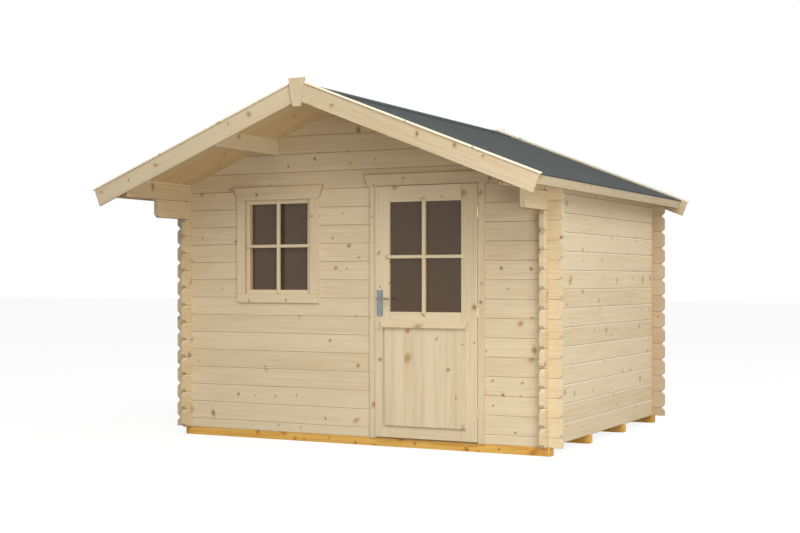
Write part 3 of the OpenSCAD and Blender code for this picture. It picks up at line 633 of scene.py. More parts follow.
def timber_material(name, place, pale=None, dark=None, knots=None, cell=(0.22, 0.13), figure=0.22,
                    ends=None, ends_tone=None, foot=0.0, top=0.0, joint=0.0, edges=None, sawn=None,
                    head=None):
    """Softwood finish. place(tree, point) gives the point along, across and through a board, the board's
    number and the masks of its edges. ends(tree, point) gives the share of the tone that milled ends have.
    foot and joint say how dark the seams are, which at the side walls' foot is also painted shadow under
    each log, and top how strong the painted highlight on a board's upper edge is. edges is a box whose
    upright sides and top take the near-white tone, as painted light in the shaded gap round the door leaf,
    sawn is (axis, low, high) of two sawn ends, whose darker tone is end grain and also painted shade, and
    head is a node whose topmost board gets a painted shadow outline."""
    timber = bpy.context.scene.gh_timber
    material, tree, point = new_material(name)
    placed = place(tree, point)
    wood = tree.group("sawn_timber", {
        "Point": placed["Point"], "Number": placed["Number"], "Pale": pale or timber.pale,
        "Dark": dark or timber.dark, "Knot": timber.knot, "Red knot": timber.red_knot,
        "Ring gap": timber.ring_gap, "Knots": timber.knot_share if knots is None else knots,
        "Knot cell": (*cell, 1.0), "Figure": figure})
    shown = wood["Colour"]
    if ends:
        shown = tree.mix(ends(tree, point), shown, ends_tone or timber.ends, "MULTIPLY")
    # Foot gives a board's lower edge the seam tone: a dark joint, and on the side walls also painted shadow
    # under each log. Top gives its upper edge the painted highlight, and Joint gives the seam tone where
    # boards meet.
    for mask, share, line in (("Foot", foot, timber.seam), ("Top", top, timber.crest_painted_highlight),
                              ("Joint", joint, timber.seam)):
        if share:
            shown = tree.mix(placed[mask] * share, shown, line)
    # The sawn ends take a darker tone: end grain, and painted shade where a lit end shows under a
    # bargeboard.
    if sawn:
        axis, first, last = sawn
        at_end = tree.separate(point)[axis].near(first, last) < FACE
        shown = tree.mix(at_end, shown, timber.sawn, "MULTIPLY")
    # Painted shadow: a dark outline round the top of the trim's head board.
    if head:
        shown = tree.mix(head_painted_shadow(tree, point, head), shown, timber.seam)
    # Painted light: the door leaf's upright sides and top, which lie in the shaded gap, take the near-white
    # tone.
    if edges:
        (x0, _, _), (x1, _, z1) = edges
        x, _, z = tree.separate(point)
        shown = tree.mix(x.near(x0, x1).least(abs(z - z1)) < FACE, shown, timber.planed_painted_light)
    tree.coat(wood, 0.35, 0.6 * MM, shown, specular=0.25)
    return material


def dress(nodes, name, *given, **looks):
    """Gives CAD nodes a softwood finish."""
    finish_nodes(nodes, timber_material(name, *given, **looks))


def head_painted_shadow(tree, point, node, width=6 * MM):
    """Mask of a narrow painted shadow line along the slanting ends and the top of a trim's head board.

    At a height z the half width of the board is its half width at the foot, plus the rise above the foot
    times the slope of the ends."""
    points = points_of(node)
    foot_z, top_z = np.unique(points[:, Z].round(5))[-2:].tolist()
    centre = middle(node, X)
    foot_half, top_half = (float(np.abs(points[np.abs(points[:, Z] - z) < 0.1 * MM][:, X] - centre).max())
                           for z in (foot_z, top_z))
    x, _, z = tree.separate(point)
    rise = z - foot_z
    to_end = rise * ((top_half - foot_half) / (top_z - foot_z)) + foot_half - abs(x - centre)
    line = tree.ramp(to_end.least(top_z - z), width, width / 3, 0.0, 0.7)
    return line * (rise > -0.2 * MM)


def flat_axes(tree, point):
    """Coordinates of a point, and 0 because both sides are one row."""
    return (*tree.separate(point), 0.0)


def slope_axes(tree, point):
    """Distance down the slope, depth and height up from the underside, and 1 on the left side."""
    x, y, z = tree.separate(point)
    turned_back = tree.node("Mapping", {
        "Vector": tree.combine(abs(x), y, z), "Location": (0, 0, RIDGE_Z), "Rotation": (0, PITCH, 0)},
        vector_type="TEXTURE")
    return (*tree.separate(turned_back[0]), x < 0.0)


def joist_axes(tree, point):
    """Coordinates of a point in the joists, which lie side by side in depth, so that each takes its
    figure 5 m per metre along."""
    x, y, z = tree.separate(point)
    return y * 5.0 + x, y, z, 0.0


def in_row(order, start, pitch, middle=0.0, seed=0.0, line=0.005, axes=flat_axes, side_step=53.0):
    """Place of a point in a row of boards: order picks the axes along, across and through a board. The
    boards on the left side have other numbers if the axes tell the sides apart."""
    def place(tree, point):
        *given, left = axes(tree, point)
        return tree.group("board_in_row", {
            "Point": tree.combine(*(given[i] for i in order)), "Start": start, "Pitch": pitch,
            "Middle": middle, "Line": line, "Seed": left * side_step + seed})
    return place


def in_board(order, centre, middle, seed, axes=flat_axes):
    """Place of a point in one board, whose middle lies at a coordinate across and at one through it."""
    return in_row(order, centre - WIDE / 2, WIDE, middle, seed, axes=axes)


def in_frame(left, right, foot, top, middle=0.0, seed=0.0):
    """Place of a point in a frame of boards round the rectangle left to right, foot to top."""
    def place(tree, point):
        return tree.group("board_in_frame", {"Point": point, "Left": left, "Right": right, "Foot": foot,
                                             "Top": top, "Middle": middle, "Seed": seed})
    return place


def past_corner(axis, limit, blur=4 * MM):
    """Share of the end tone: 1 past the limit along an axis, on both sides of the middle."""
    centre, half = (limit[0] + limit[1]) / 2, (limit[1] - limit[0]) / 2

    def share(tree, point):
        return tree.ramp(abs(tree.separate(point)[axis] - centre), half - blur, half)
    return share


def felt_material(reach, ends, blur=3 * MM):
    """Gritted roofing felt. Its selvedge, along the fold at the distance reach down the slope and along the
    ends (front, back), has no grit and is darker: tarred edge, and painted shadow."""
    roof = bpy.context.scene.gh_roof
    material, tree, point = new_material("roofing_felt")
    grit = tree.group("mineral_grit", {"Point": point, "Grain": 2.2 * MM, "Base": roof.felt,
                                       "Contrast": 0.55})
    down, y, _, _ = slope_axes(tree, point)
    # A dark band along the fold and the ends: tarred edge, and painted shadow.
    to_edge = (reach - down).least((y - ends[0]).least(ends[1] - y))
    tar_and_shadow_band = tree.ramp(to_edge, roof.selvedge_w + blur, roof.selvedge_w - blur)
    tree.coat(grit, 0.5, 1 * MM, tree.mix(tar_and_shadow_band, grit["Colour"], roof.tar_and_painted_shadow), 0.94 - tar_and_shadow_band * 0.25,
              specular=0.15)
    return material


def metal_material(name, base, roughness):
    """Plated or brushed metal."""
    material, tree, point = new_material(name)
    metal = tree.group("worn_metal", {"Point": point, "Base": base, "Roughness": roughness})
    tree.coat(metal, 0.15, 0.2 * MM, metallic=1.0)
    return material


def glass_material():
    """Tinted window glass that lets the lamps' light through to the room, with faint dust on it. The share
    that is not transmission gives the panes a matt brown tone: painted shade of the dim room behind them.
    """
    door = bpy.context.scene.gh_door
    material, tree, point = new_material("tinted_glass")
    dust = tree.noise(point, scale=9.0, detail=5.0)
    # Transmission Weight 0.82: the rest is a matt brown tone, painted shade of the dim room behind the
    # panes.
    glass = tree.node("BsdfPrincipled", {
        "Base Color": tree.mix(tree.ramp(dust, 0.3, 0.8, 0.0, 0.25), door.glass, door.dust),
        "Roughness": tree.ramp(dust, 0.35, 0.9, 0.02, 0.10), "IOR": 1.45, "Specular IOR Level": 0.22,
        "Transmission Weight": 0.82})
    clear = tree.node("BsdfTransparent", {"Color": door.glass})
    tree.show(tree.node("LightPath")["Is Shadow Ray"], glass, clear)
    return material


# ---------- Operators ----------


class GH_OT_stage(Operator):
    """Sets the camera, the floor, the lamps and the room"""

    bl_idname = "garden_house.stage"
    bl_label = "Stage"

    def execute(self, context):
        stage = context.scene.gh_stage
        lens = bpy.data.cameras.new("camera")
        lens.lens, lens.shift_y = stage.lens, stage.rise
        context.scene.camera = new_object("camera", lens, stage.camera, (math.pi / 2, 0, stage.heading))
        context.scene.view_settings.view_transform = "Standard"
        self.add_floor(stage.bounce)
        for name, place, power, size in (("key_light", stage.key_place, stage.key, 8.0),
                                         ("side_light", stage.side_place, stage.side, 6.0),
                                         ("low_light", stage.low_place, stage.low, 3.0)):
            data = bpy.data.lights.new(name, "AREA")
            data.shape, data.size, data.energy = "DISK", size, power
            facing = (Vector(place) - Vector(stage.aim)).to_track_quat("Z", "Y").to_euler()
            new_object(name, data, place, facing).visible_camera = False
        self.light_room(context.scene, stage.sky)
        return {"FINISHED"}

    def add_floor(self, bounce, half=60.0, seen_tone=0.9, glow=1.08, glow_share=0.8):
        """A pale plane that looks nearly white but throws back only the bounce."""
        mesh = bpy.data.meshes.new("floor")
        mesh.from_pydata([(-half, -half, 0), (half, -half, 0), (half, half, 0), (-half, half, 0)], [],
                         [(0, 1, 2, 3)])
        floor = new_object("floor", mesh)
        material, tree, _ = new_material("pale_floor")
        seen = seen_by_eye(tree)
        shown = tree.mix(seen, (bounce, bounce, bounce, 1.0), (seen_tone, seen_tone, seen_tone, 1.0))
        plain = tree.node("BsdfDiffuse", {"Color": shown})
        white = tree.node("Emission", {"Color": WHITE, "Strength": glow})
        tree.show(seen * glow_share, plain, white)
        mesh.materials.append(material)

    def light_room(self, scene, sky):
        """Even light from all sides, and plain white where the room itself is seen."""
        world = bpy.data.worlds.new("white_room")
        world.use_nodes = True
        tree = Tree(world.node_tree)
        light, white = (tree.node("Background", {"Color": WHITE, "Strength": strength})
                        for strength in (sky, 1.0))
        tree.show(seen_by_eye(tree), light, white, "OutputWorld")
        scene.world = world


def seen_by_eye(tree):
    """1 for rays from the camera, mirrors and glass, and 0 for those that only gather light."""
    path = tree.node("LightPath")
    return path["Is Camera Ray"].most(path["Is Glossy Ray"]).most(path["Is Transmission Ray"])


class GH_OT_shared_effects(Operator):
    """Builds the node groups that the finishes share"""

    bl_idname = "garden_house.shared_effects"
    bl_label = "Shared effects"

    def execute(self, context):
        for build in (build_board_group, build_frame_group, build_timber_group, build_grit_group,
                      build_metal_group):
            build()
        return {"FINISHED"}


class GH_OT_logs(Operator):
    """Finishes the log walls, the gables and the purlins"""

    bl_idname = "garden_house.logs"
    bl_label = "Log walls"

    def execute(self, context):
        timber = context.scene.gh_timber
        course = timber.course_h
        foot, side_x = low("left_wall", Z), -low("left_wall", X)
        wall_y = (low("front_wall_right", Y), high("back_wall", Y))
        # along, through, foot of a course, corners, strength of the seams (dark joints, and on the side
        # walls also painted shadow under each log) and of the crests (painted highlight on each log's top
        # edge), width of their lines
        cross = (X, Y, foot - course / 2, (-side_x, side_x), 0.8, 0.3, 6.5 * MM)
        side = (Y, X, foot, wall_y, 0.9, 0.9, 9 * MM)
        walls = ((("front_wall_left", "front_wall_right", "front_gable"), cross),
                 (("back_wall", "back_gable"), cross), (("left_wall",), side), (("right_wall",), side))
        for number, (nodes, (along, through, start, limit, seam, crest_painted_highlight, line)) in enumerate(walls):
            node = nodes[0]
            place = in_row((along, Z, through), start, course, middle(node, through),
                           SEED["walls"] + 100 * number, line)
            dress(nodes, f"{node}_pine", place, ends=past_corner(along, limit), foot=seam, top=crest_painted_highlight,
                  ends_tone=timber.back_ends if node == "back_wall" else None,
                  sawn=(Y, low(node, Y), high(node, Y)) if along == Y else None)
        for number, node in enumerate(("left_purlin", "right_purlin")):
            dress([node], f"{node}_pine", in_row((Y, Z, X), low(node, Z) - 10 * MM, 2 * course,
                                                 middle(node, X), SEED["purlins"] + 100 * number))
        return {"FINISHED"}


class GH_OT_base(Operator):
    """Finishes the joists and lays the floor boards"""

    bl_idname = "garden_house.base"
    bl_label = "Joists and floor"

    def execute(self, context):
        timber = context.scene.gh_timber
        place = in_board((X, Z, Y), 0.0, low("floor_joists", Y) + 35 * MM, SEED["joists"], joist_axes)
        dress(["floor_joists"], "treated_joists", place, timber.joist_pale, timber.joist_dark, knots=0.9,
              cell=(0.17, 0.08), figure=0.6)
        self.lay_floor(context.scene.gh_roof.floor_boards)
        return {"FINISHED"}

    def lay_floor(self, boards, cut=2.0 * MM, gap=0.4 * MM):
        """Boards from front to back. Each is its plan outline at three heights: the foot, the shoulder,
        and the top, where the long edges are drawn in by the chamfer."""
        (x0, y0, z0), (x1, y1, z1) = corners("floor_boards")
        pitch = (x1 - x0) / boards
        solids = []
        for number in range(boards):
            left, right = x0 + number * pitch + gap / 2, x0 + (number + 1) * pitch - gap / 2
            outline = [(left, y0)]
            for start, end, depth in floor_notches():
                if left < start and end < right:
                    outline += [(start, y0), (start, depth), (end, depth), (end, y0)]
                elif left < end and start < right:
                    raise RuntimeError("a joint between floor boards meets a bead of the door frame")
            flat = np.array(outline + [(right, y0), (right, y1), (left, y1)])
            drawn_in = np.column_stack([np.clip(flat[:, X], left + cut, right - cut), flat[:, Y]])
            solids.append(lofted([[np.insert(plan, Z, z, 1) for plan, z in (
                (flat, z0), (flat, z1 - cut), (drawn_in, z1))]]))
        place = in_row((Y, X, Z), x0, pitch, (z0 + z1) / 2, SEED["floor"])
        add_piece("floor_boarding", joined(solids), "house", "floor_timber",
                  timber_material("floor_pine", place, cell=(0.3, 0.12), foot=0.5), ["floor_boards"])


def floor_notches():
    """(left, right, depth) of the two notches that the floor has round the beads of the door frame."""
    points = points_of("floor_boards")
    front = points[:, Y].min()
    inner = points[(points[:, Y] > front + MM) & (points[:, Y] < front + 100 * MM)]
    depth = float(inner[:, Y].max())
    return [(a, b, depth) for a, b in np.unique(inner[:, X].round(4)).reshape(-1, 2).tolist()]


class GH_OT_roof_timber(Operator):
    """Boards the roof and finishes its edges"""

    bl_idname = "garden_house.roof_timber"
    bl_label = "Roof timber"

    def execute(self, context):
        timber = context.scene.gh_timber
        y0, y1 = low("right_roof_deck", Y), high("right_roof_deck", Y)
        boards = round((y1 - y0) / context.scene.gh_roof.board_w)
        (_, eaves), (_, thick) = slope_span("right_roof_deck")
        place = in_row((DOWN, DEPTH, UP), y0, (y1 - y0) / boards, thick / 2, SEED["roof"],
                       axes=slope_axes)
        material = timber_material("roof_board_pine", place, timber.deck_pale, timber.deck_dark,
                                   cell=(0.35, 0.09), foot=0.5)
        across, down = board_row(y0, y1, boards, thick, 2.5 * MM)
        up = thick - down
        start = (low("right_roof_deck", X) - up * SIN) / COS
        for side, sign in SIDES:
            rings = np.stack([on_slope(sign, start, across, up), on_slope(sign, eaves, across, up)], 1)
            add_piece(f"{side}_roof_boarding", lofted(rings), "house", "roof_timber", material,
                      [f"{side}_roof_deck"])
        self.finish_edges(timber)
        return {"FINISHED"}

    def finish_edges(self, timber):
        """Bargeboards, cover strips and keystones at both ends, then the eaves boards."""
        # The front cover strips take the near-white tones as a painted highlight, and the back's strips and
        # keystone as painted light on shaded faces.
        barge_painted_shade, back = (timber.barge_painted_shade_pale, timber.barge_painted_shade_dark), (timber.bright, timber.planed_painted_light)
        ends = (("front", (timber.planed_painted_light, timber.pale), barge_painted_shade), ("back", back, back))
        for number, (end, strip_tones, keystone_tones) in enumerate(ends):
            boards = [f"{end}_left_bargeboard", f"{end}_right_bargeboard"]
            _, (foot, _) = slope_span(boards[0])
            place = in_board((DOWN, UP, DEPTH), foot + 50 * MM, middle(boards[0], Y),
                             SEED["bargeboards"] + 100 * number, slope_axes)
            # The bargeboards take the darker tones as painted shade.
            dress(boards, f"{end}_barge_pine", place, *barge_painted_shade, cell=(0.30, 0.12))
            place = in_board((DOWN, DEPTH, UP), low(f"{end}_cover_strips", Y), 30 * MM,
                             SEED["strips"] + 10 * number, slope_axes)
            dress([f"{end}_cover_strips"], f"{end}_strip_pine", place, *strip_tones, cell=(0.4, 0.06),
                  knots=0.2)
            place = in_board((Z, X, Y), 0.0, middle(f"{end}_keystone", Y),
                             SEED["keystones"] + 10 * number)
            dress([f"{end}_keystone"], f"{end}_keystone_pine", place, *keystone_tones,
                  cell=(0.12, 0.08), knots=0.2)
        # The eaves boards take the same darker tones as painted shade.
        place = in_board((DEPTH, UP, DOWN), 0.0, slope_span("right_eaves_board")[0][0], SEED["eaves"],
                         slope_axes)
        dress(["left_eaves_board", "right_eaves_board"], "eaves_pine", place, *barge_painted_shade, cell=(0.4, 0.07))


class GH_OT_felt(Operator):
    """Lays the felt sheets on the roof"""

    bl_idname = "garden_house.felt"
    bl_label = "Roofing felt"

    def execute(self, context):
        (_, reach), _ = slope_span("right_roof_felt")
        material = felt_material(reach, (low("right_roof_felt", Y), high("right_roof_felt", Y)))
        for side, sign in SIDES:
            node = f"{side}_roof_felt"
            add_piece(f"{side}_felt_sheets", self.sheets(node, sign, context.scene.gh_roof.sheet_w),
                      "house", "roofing_felt", material, [node])
        finish_nodes(["ridge_felt"], material)
        return {"FINISHED"}

    def sheets(self, node, sign, sheet_w, stations=60, corner=1.2 * MM, step=1.5 * MM,
               wave=0.125 * MM):
        """Felt from the ridge to the fold over the eaves board.

        Along the slope its top is a saw: each sheet is full thickness at its lower edge and thins to the
        next sheet's lap. Along the roof the top sinks by a slow wave of a few tenths of a millimetre."""
        (_, reach), (fold_up, top) = slope_span(node)
        foot = slope_span("right_roof_deck")[1][1] + LIFT
        thick = top - foot
        edge = reach - thick
        start = (LIFT - foot * SIN) / COS
        saw = [(start, foot + 0.6 * thick)]
        for lap in sheet_edges(edge, sheet_w):
            saw += [(lap, top), (lap + step, foot + 0.5 * thick)]
        profile = np.array(saw + [(reach - corner, top), (reach, top - corner), (reach, fold_up),
                                  (edge, fold_up), (edge, foot), (start, foot)])
        down, up = profile.T
        y = np.linspace(low(node, Y), high(node, Y), stations)[:, None]
        sunk = wave * (np.sin(y * 5.3 + down * 3.1) + np.sin(y * 11.7 - down * 7.9) - 2)
        on_top = up > foot + 0.4 * thick
        return lofted([on_slope(sign, down, y, up + sunk * on_top)])


def sheet_edges(edge, sheet_w, ridge=0.2):
    """Distances down the slope of the sheets' lower edges, from the ridge strip to above the lowest."""
    return np.arange(edge - sheet_w, ridge, -sheet_w)[::-1]


class GH_OT_frames(Operator):
    """Finishes the linings, the trims, the threshold and the sash"""

    bl_idname = "garden_house.frames"
    bl_label = "Frames and trims"

    def execute(self, context):
        timber = context.scene.gh_timber
        (x0, _, _), (x1, _, z1) = corners("door_leaf_frame")
        below = -1.0
        place = in_frame(x0 - LEAF_GAP, x1 + LEAF_GAP, below, z1 + LEAF_GAP,
                         middle("door_outer_trim", Y), SEED["door_trim"])
        cell = (0.25, 0.06)
        dress(["door_outer_trim"], "door_trim_pine", place, cell=cell, joint=0.5, head="door_outer_trim")
        dress(["door_inner_trim"], "door_inner_trim_pine", place, cell=cell, joint=0.5)
        # The lining takes the near-white tone: painted light in the shaded gap round the leaf.
        dress(["door_frame"], "door_lining_pine", place, timber.planed_painted_light, timber.pale, cell=cell, knots=0.2)
        place = in_board((X, Y, Z), 0.0, middle("door_threshold", Z), SEED["threshold"])
        dress(["door_threshold"], "threshold_pine", place, cell=(0.2, 0.06))
        (x0, _, z0), (x1, _, z1) = corners("window_glass")
        edge = x1 - upright_edges("window_outer_trim", "window_glass")[0]
        cell = (0.3, 0.07)
        place = in_frame(x0 + edge, x1 - edge, z0 + edge, z1 - edge, middle("window_outer_trim", Y),
                         SEED["window_trim"])
        dress(["window_outer_trim"], "window_trim_pine", place, cell=cell, joint=0.6,
              head="window_outer_trim")
        dress(["window_inner_trim", "window_frame"], "window_frame_pine", place, cell=cell, joint=0.6)
        place = in_frame(x0, x1, z0, z1, middle("window_sash", Y), SEED["sash"])
        dress(["window_sash"], "sash_pine", place, cell=cell, knots=0.15, joint=0.5)
        return {"FINISHED"}


class GH_OT_door_leaf(Operator):
    """Finishes the door leaf and boards its panel"""

    bl_idname = "garden_house.door_leaf"
    bl_label = "Door leaf"

    def execute(self, context):
        below, above = 0.0, 3.0
        place = in_frame(low("door_glass", X), high("door_glass", X), below, above,
                         middle("door_leaf_frame", Y), SEED["door_leaf"])
        # The leaf's upright sides and top take the near-white tone (edges): painted light in the shaded gap.
        dress(["door_leaf_frame"], "door_leaf_pine", place, cell=(0.16, 0.09), knots=0.24, joint=0.5,
              edges=corners("door_leaf_frame"))
        place = in_board((X, Z, Y), 1.0, middle("door_drip_board", Y), SEED["drip"])
        dress(["door_drip_board"], "drip_board_pine", place, cell=(0.3, 0.05))
        self.board_panel(context.scene.gh_door.panel_boards)
        return {"FINISHED"}

    def board_panel(self, boards):
        """Upright boards side by side, each a chamfered section carried straight up."""
        (x0, y0, z0), (x1, y1, z1) = corners("door_panel")
        across, out = board_row(x0, x1, boards, y1 - y0, 2.5 * MM)
        rings = np.stack([np.stack([across, y1 - out, np.full_like(across, z)], -1) for z in (z0, z1)], 1)
        place = in_row((Z, X, Y), x0, (x1 - x0) / boards, (y0 + y1) / 2, SEED["panel"])
        add_piece("door_panel_boards", lofted(rings), "door", "door_timber",
                  timber_material("door_panel_pine", place, cell=(0.26, 0.08), knots=0.3, foot=0.5),
                  ["door_panel"])


class GH_OT_glazing(Operator):
    """Makes the glazing bars and beads and finishes the panes"""

    bl_idname = "garden_house.glazing"
    bl_label = "Glazing"

    def execute(self, context):
        door = context.scene.gh_door
        finish_nodes(["door_glass", "window_glass"], glass_material())
        leaf_y, sash_y = low("door_leaf_frame", Y), low("window_sash", Y)
        place = in_board((Z, X, Y), 1.0, leaf_y + 30 * MM, SEED["bars"])
        material = timber_material("glazing_bar_pine", place, knots=0.12, cell=(0.3, 0.06))
        trim_x = upright_edges("window_outer_trim", "window_glass", -1)[0]
        window_lap = low("window_glass", X) - trim_x - 1.5 * MM
        panes = (("door", ("door", "door_timber"), leaf_y, door.door_bar_t, door.bar_lap, (-6 * MM, 0)),
                 ("window", ("house", "trim_timber"), sash_y, door.window_bar_t, window_lap, (0, 5 * MM)))
        for name, ride, *bars in panes:
            corner = corners(f"{name}_glass")
            add_piece(f"{name}_glazing_bars", self.bars(corner, door.bar_w / 2, *bars), *ride, material)
        for name, ride, *_ in panes:
            add_piece(f"{name}_glass_beads", self.beads(corners(f"{name}_glass")), *ride, material)
        return {"FINISHED"}

    def bars(self, pane, half, face, depth, lap, offset, taper=16 * MM, bevel=4 * MM, step=0.4 * MM):
        """An upright bar and a cross bar in two halves.

        The offset moves where they cross from the pane's middle, across and up. A bar's section is a
        rectangle with its front edges bevelled, carried along the bar. Its back lies on the frame's face at
        the ends and in between reaches down to 0.3 mm short of the glass, but no deeper than 10 mm behind
        the face, and in the last part before an end its depth falls along a straight line to a third."""
        (x0, y0, z0), (x1, _, z1) = pane
        middle_x, middle_z = (x0 + x1) / 2 + offset[0], (z0 + z1) / 2 + offset[1]
        root = max(face - y0 + LIFT, -10 * MM)
        section = np.array([(-half, 0), (half, 0), (half, depth - bevel), (half - bevel, depth),
                            (-half + bevel, depth), (-half, depth - bevel)])

        def bar(stations, place):
            """stations are rows of (along, share of the depth, depth of the back below the face)."""
            along, share, back = (column[:, None] for column in np.array(stations).T)
            across = np.broadcast_to(section[:, 0], (len(stations), len(section)))
            out = np.where(section[:, 1] > 0, section[:, 1] * share, back)
            return lofted([place(np.broadcast_to(along, across.shape), across, face - out)])

        def end_of(edge, inward):
            """Stations of a bar's end that laps the frame beyond the pane's edge."""
            tip = edge - inward * lap
            return [(tip, 0.33, 0), (tip + inward * taper, 1, 0), (edge + inward * step, 1, 0),
                    (edge + 2 * inward * step, 1, root)]

        upright = bar(end_of(z0, 1) + end_of(z1, -1)[::-1],
                      lambda along, across, y: np.stack([middle_x + across, y, along], -1))
        halves = [bar([(middle_x + sign * (half + 0.1 * MM), 1, root)] + end_of(edge, -sign)[::-1],
                      lambda along, across, y: np.stack([along, y, middle_z + across], -1))
                  for sign, edge in ((-1, x0), (1, x1))]
        return joined([upright, *halves])

    def beads(self, pane, size=9 * MM, gap=0.2 * MM):
        """Quarter-round bead against the glass on the inside: its section is carried round the pane's
        rectangle, and the four corners are mitred."""
        (x0, _, z0), (x1, y1, z1) = pane
        angle = np.linspace(0, math.pi / 2, 5)
        inward, out = size * np.array([[0, *np.sin(angle)], [0, *np.cos(angle)]])
        x, z, turn_x, turn_z = np.array([(x0 + gap, z0 + gap, 1, 1), (x1 - gap, z0 + gap, -1, 1),
                                         (x1 - gap, z1 - gap, -1, -1), (x0 + gap, z1 - gap, 1, -1)]
                                        ).T[:, :, None]
        y = np.broadcast_to(y1 + gap + out, (4, len(out)))
        return lofted([np.stack([x + turn_x * inward, y, z + turn_z * inward], -1)], closed=True)


def upright_edges(trim, pane, side=1):
    """Inner and outer edge of the upright of a trim, on the right or the left side of a pane."""
    across = np.unique((side * points_of(trim)[:, X]).round(5))
    return (side * across[across > side * middle(pane, X)][:2]).tolist()


class GH_OT_fittings(Operator):
    """Finishes the hinges, the handle and the lever, and adds the lock's small parts"""

    bl_idname = "garden_house.fittings"
    bl_label = "Door fittings"

    def execute(self, context):
        door = context.scene.gh_door
        steel = metal_material("satin_plates", door.steel, 0.42)
        finish_nodes(["door_frame_hinges", "door_leaf_hinges"],
                     metal_material("plated_hinges", door.brass, 0.38))
        finish_nodes(["door_handle_plates"], steel)
        finish_nodes(["door_lever"], metal_material("brushed_lever", door.lever, 0.5))
        self.add_cylinders(steel)
        self.add_latch_plates(metal_material("zinc_plates", door.zinc, 0.4))
        return {"FINISHED"}

    def add_cylinders(self, material, radius=8.5 * MM, fin=5 * MM, drop=20 * MM, opening=0.63):
        """Lock cylinder on each handle plate: an outline of most of a circle with a narrow fin under it,
        carried out of the plate by its stand-off."""
        centre = (middle("door_handle_plates", X), low("door_handle_plates", Z) + 0.06)
        angle = np.linspace(-0.5 * math.pi + opening, 1.5 * math.pi - opening, 17)
        outline = np.vstack([radius * np.column_stack([np.cos(angle), np.sin(angle)]),
                             [(-fin, -drop), (fin, -drop)]])
        cylinders = [lofted([[np.insert(centre + share * outline, Y, face + out * depth, 1)
                              for depth, share in ((-1.0 * MM, 1.0), (1.6 * MM, 1.0), (2.2 * MM, 0.9))]])
                     for face, out in zip((low("door_handle_plates", Y), high("door_handle_plates", Y)),
                                          (-1, 1))]
        add_piece("door_lock_cylinders", joined(cylinders), "door", "handle_steel", material)

    def add_latch_plates(self, material, half_w=10 * MM, half_h=80 * MM, proud=0.1 * MM, thick=1 * MM):
        """Face plate let into the leaf's edge and strike plate let into the lining."""
        centre = (middle("door_leaf_frame", Y), middle("door_handle_plates", Z))
        square = centre + np.array([(-half_w, -half_h), (half_w, -half_h), (half_w, half_h),
                                    (-half_w, half_h)])
        leaf_x = low("door_leaf_frame", X)
        for name, face, out, body in (("door_face_plate", leaf_x, -1, "door"),
                                      ("door_strike_plate", leaf_x - LEAF_GAP, 1, "house")):
            rings = [np.insert(square, X, x, 1) for x in (face - out * thick, face + out * proud)]
            add_piece(name, lofted([rings]), body, "zinc_steel", material)


# Radius and height of a head's rings from the top down.
SCREW = MM * np.array([(1.0, 0.2), (1.6, 0.5), (3.2, 0.5), (3.9, 0.1), (3.9, -0.6)])
NAIL = MM * np.array([(1.2, 0.8), (2.4, 0.5), (2.8, 0.0), (2.8, -0.6)])
CLOUT = MM * np.array([(1.6, 1.0), (4.4, 0.6), (4.4, -0.9)])


def every(start, end, pitch):
    """Equally spaced places from start to end, at about the pitch."""
    return np.linspace(start, end, max(2, round((end - start) / pitch) + 1))


def grid(*axes):
    """All combinations of the values on each axis, as rows."""
    return np.stack(np.meshgrid(*axes, indexing="ij"), -1).reshape(-1, len(axes))


def on_both_slopes(profile, normal, down, y, up, around=8):
    """Heads at all combinations of places on the roof's two sides; the normal is that of the right side."""
    return joined([turned(on_slope(sign, *grid(down, y, up).T), (sign * normal[X], *normal[1:]), profile,
                          around) for _, sign in SIDES])


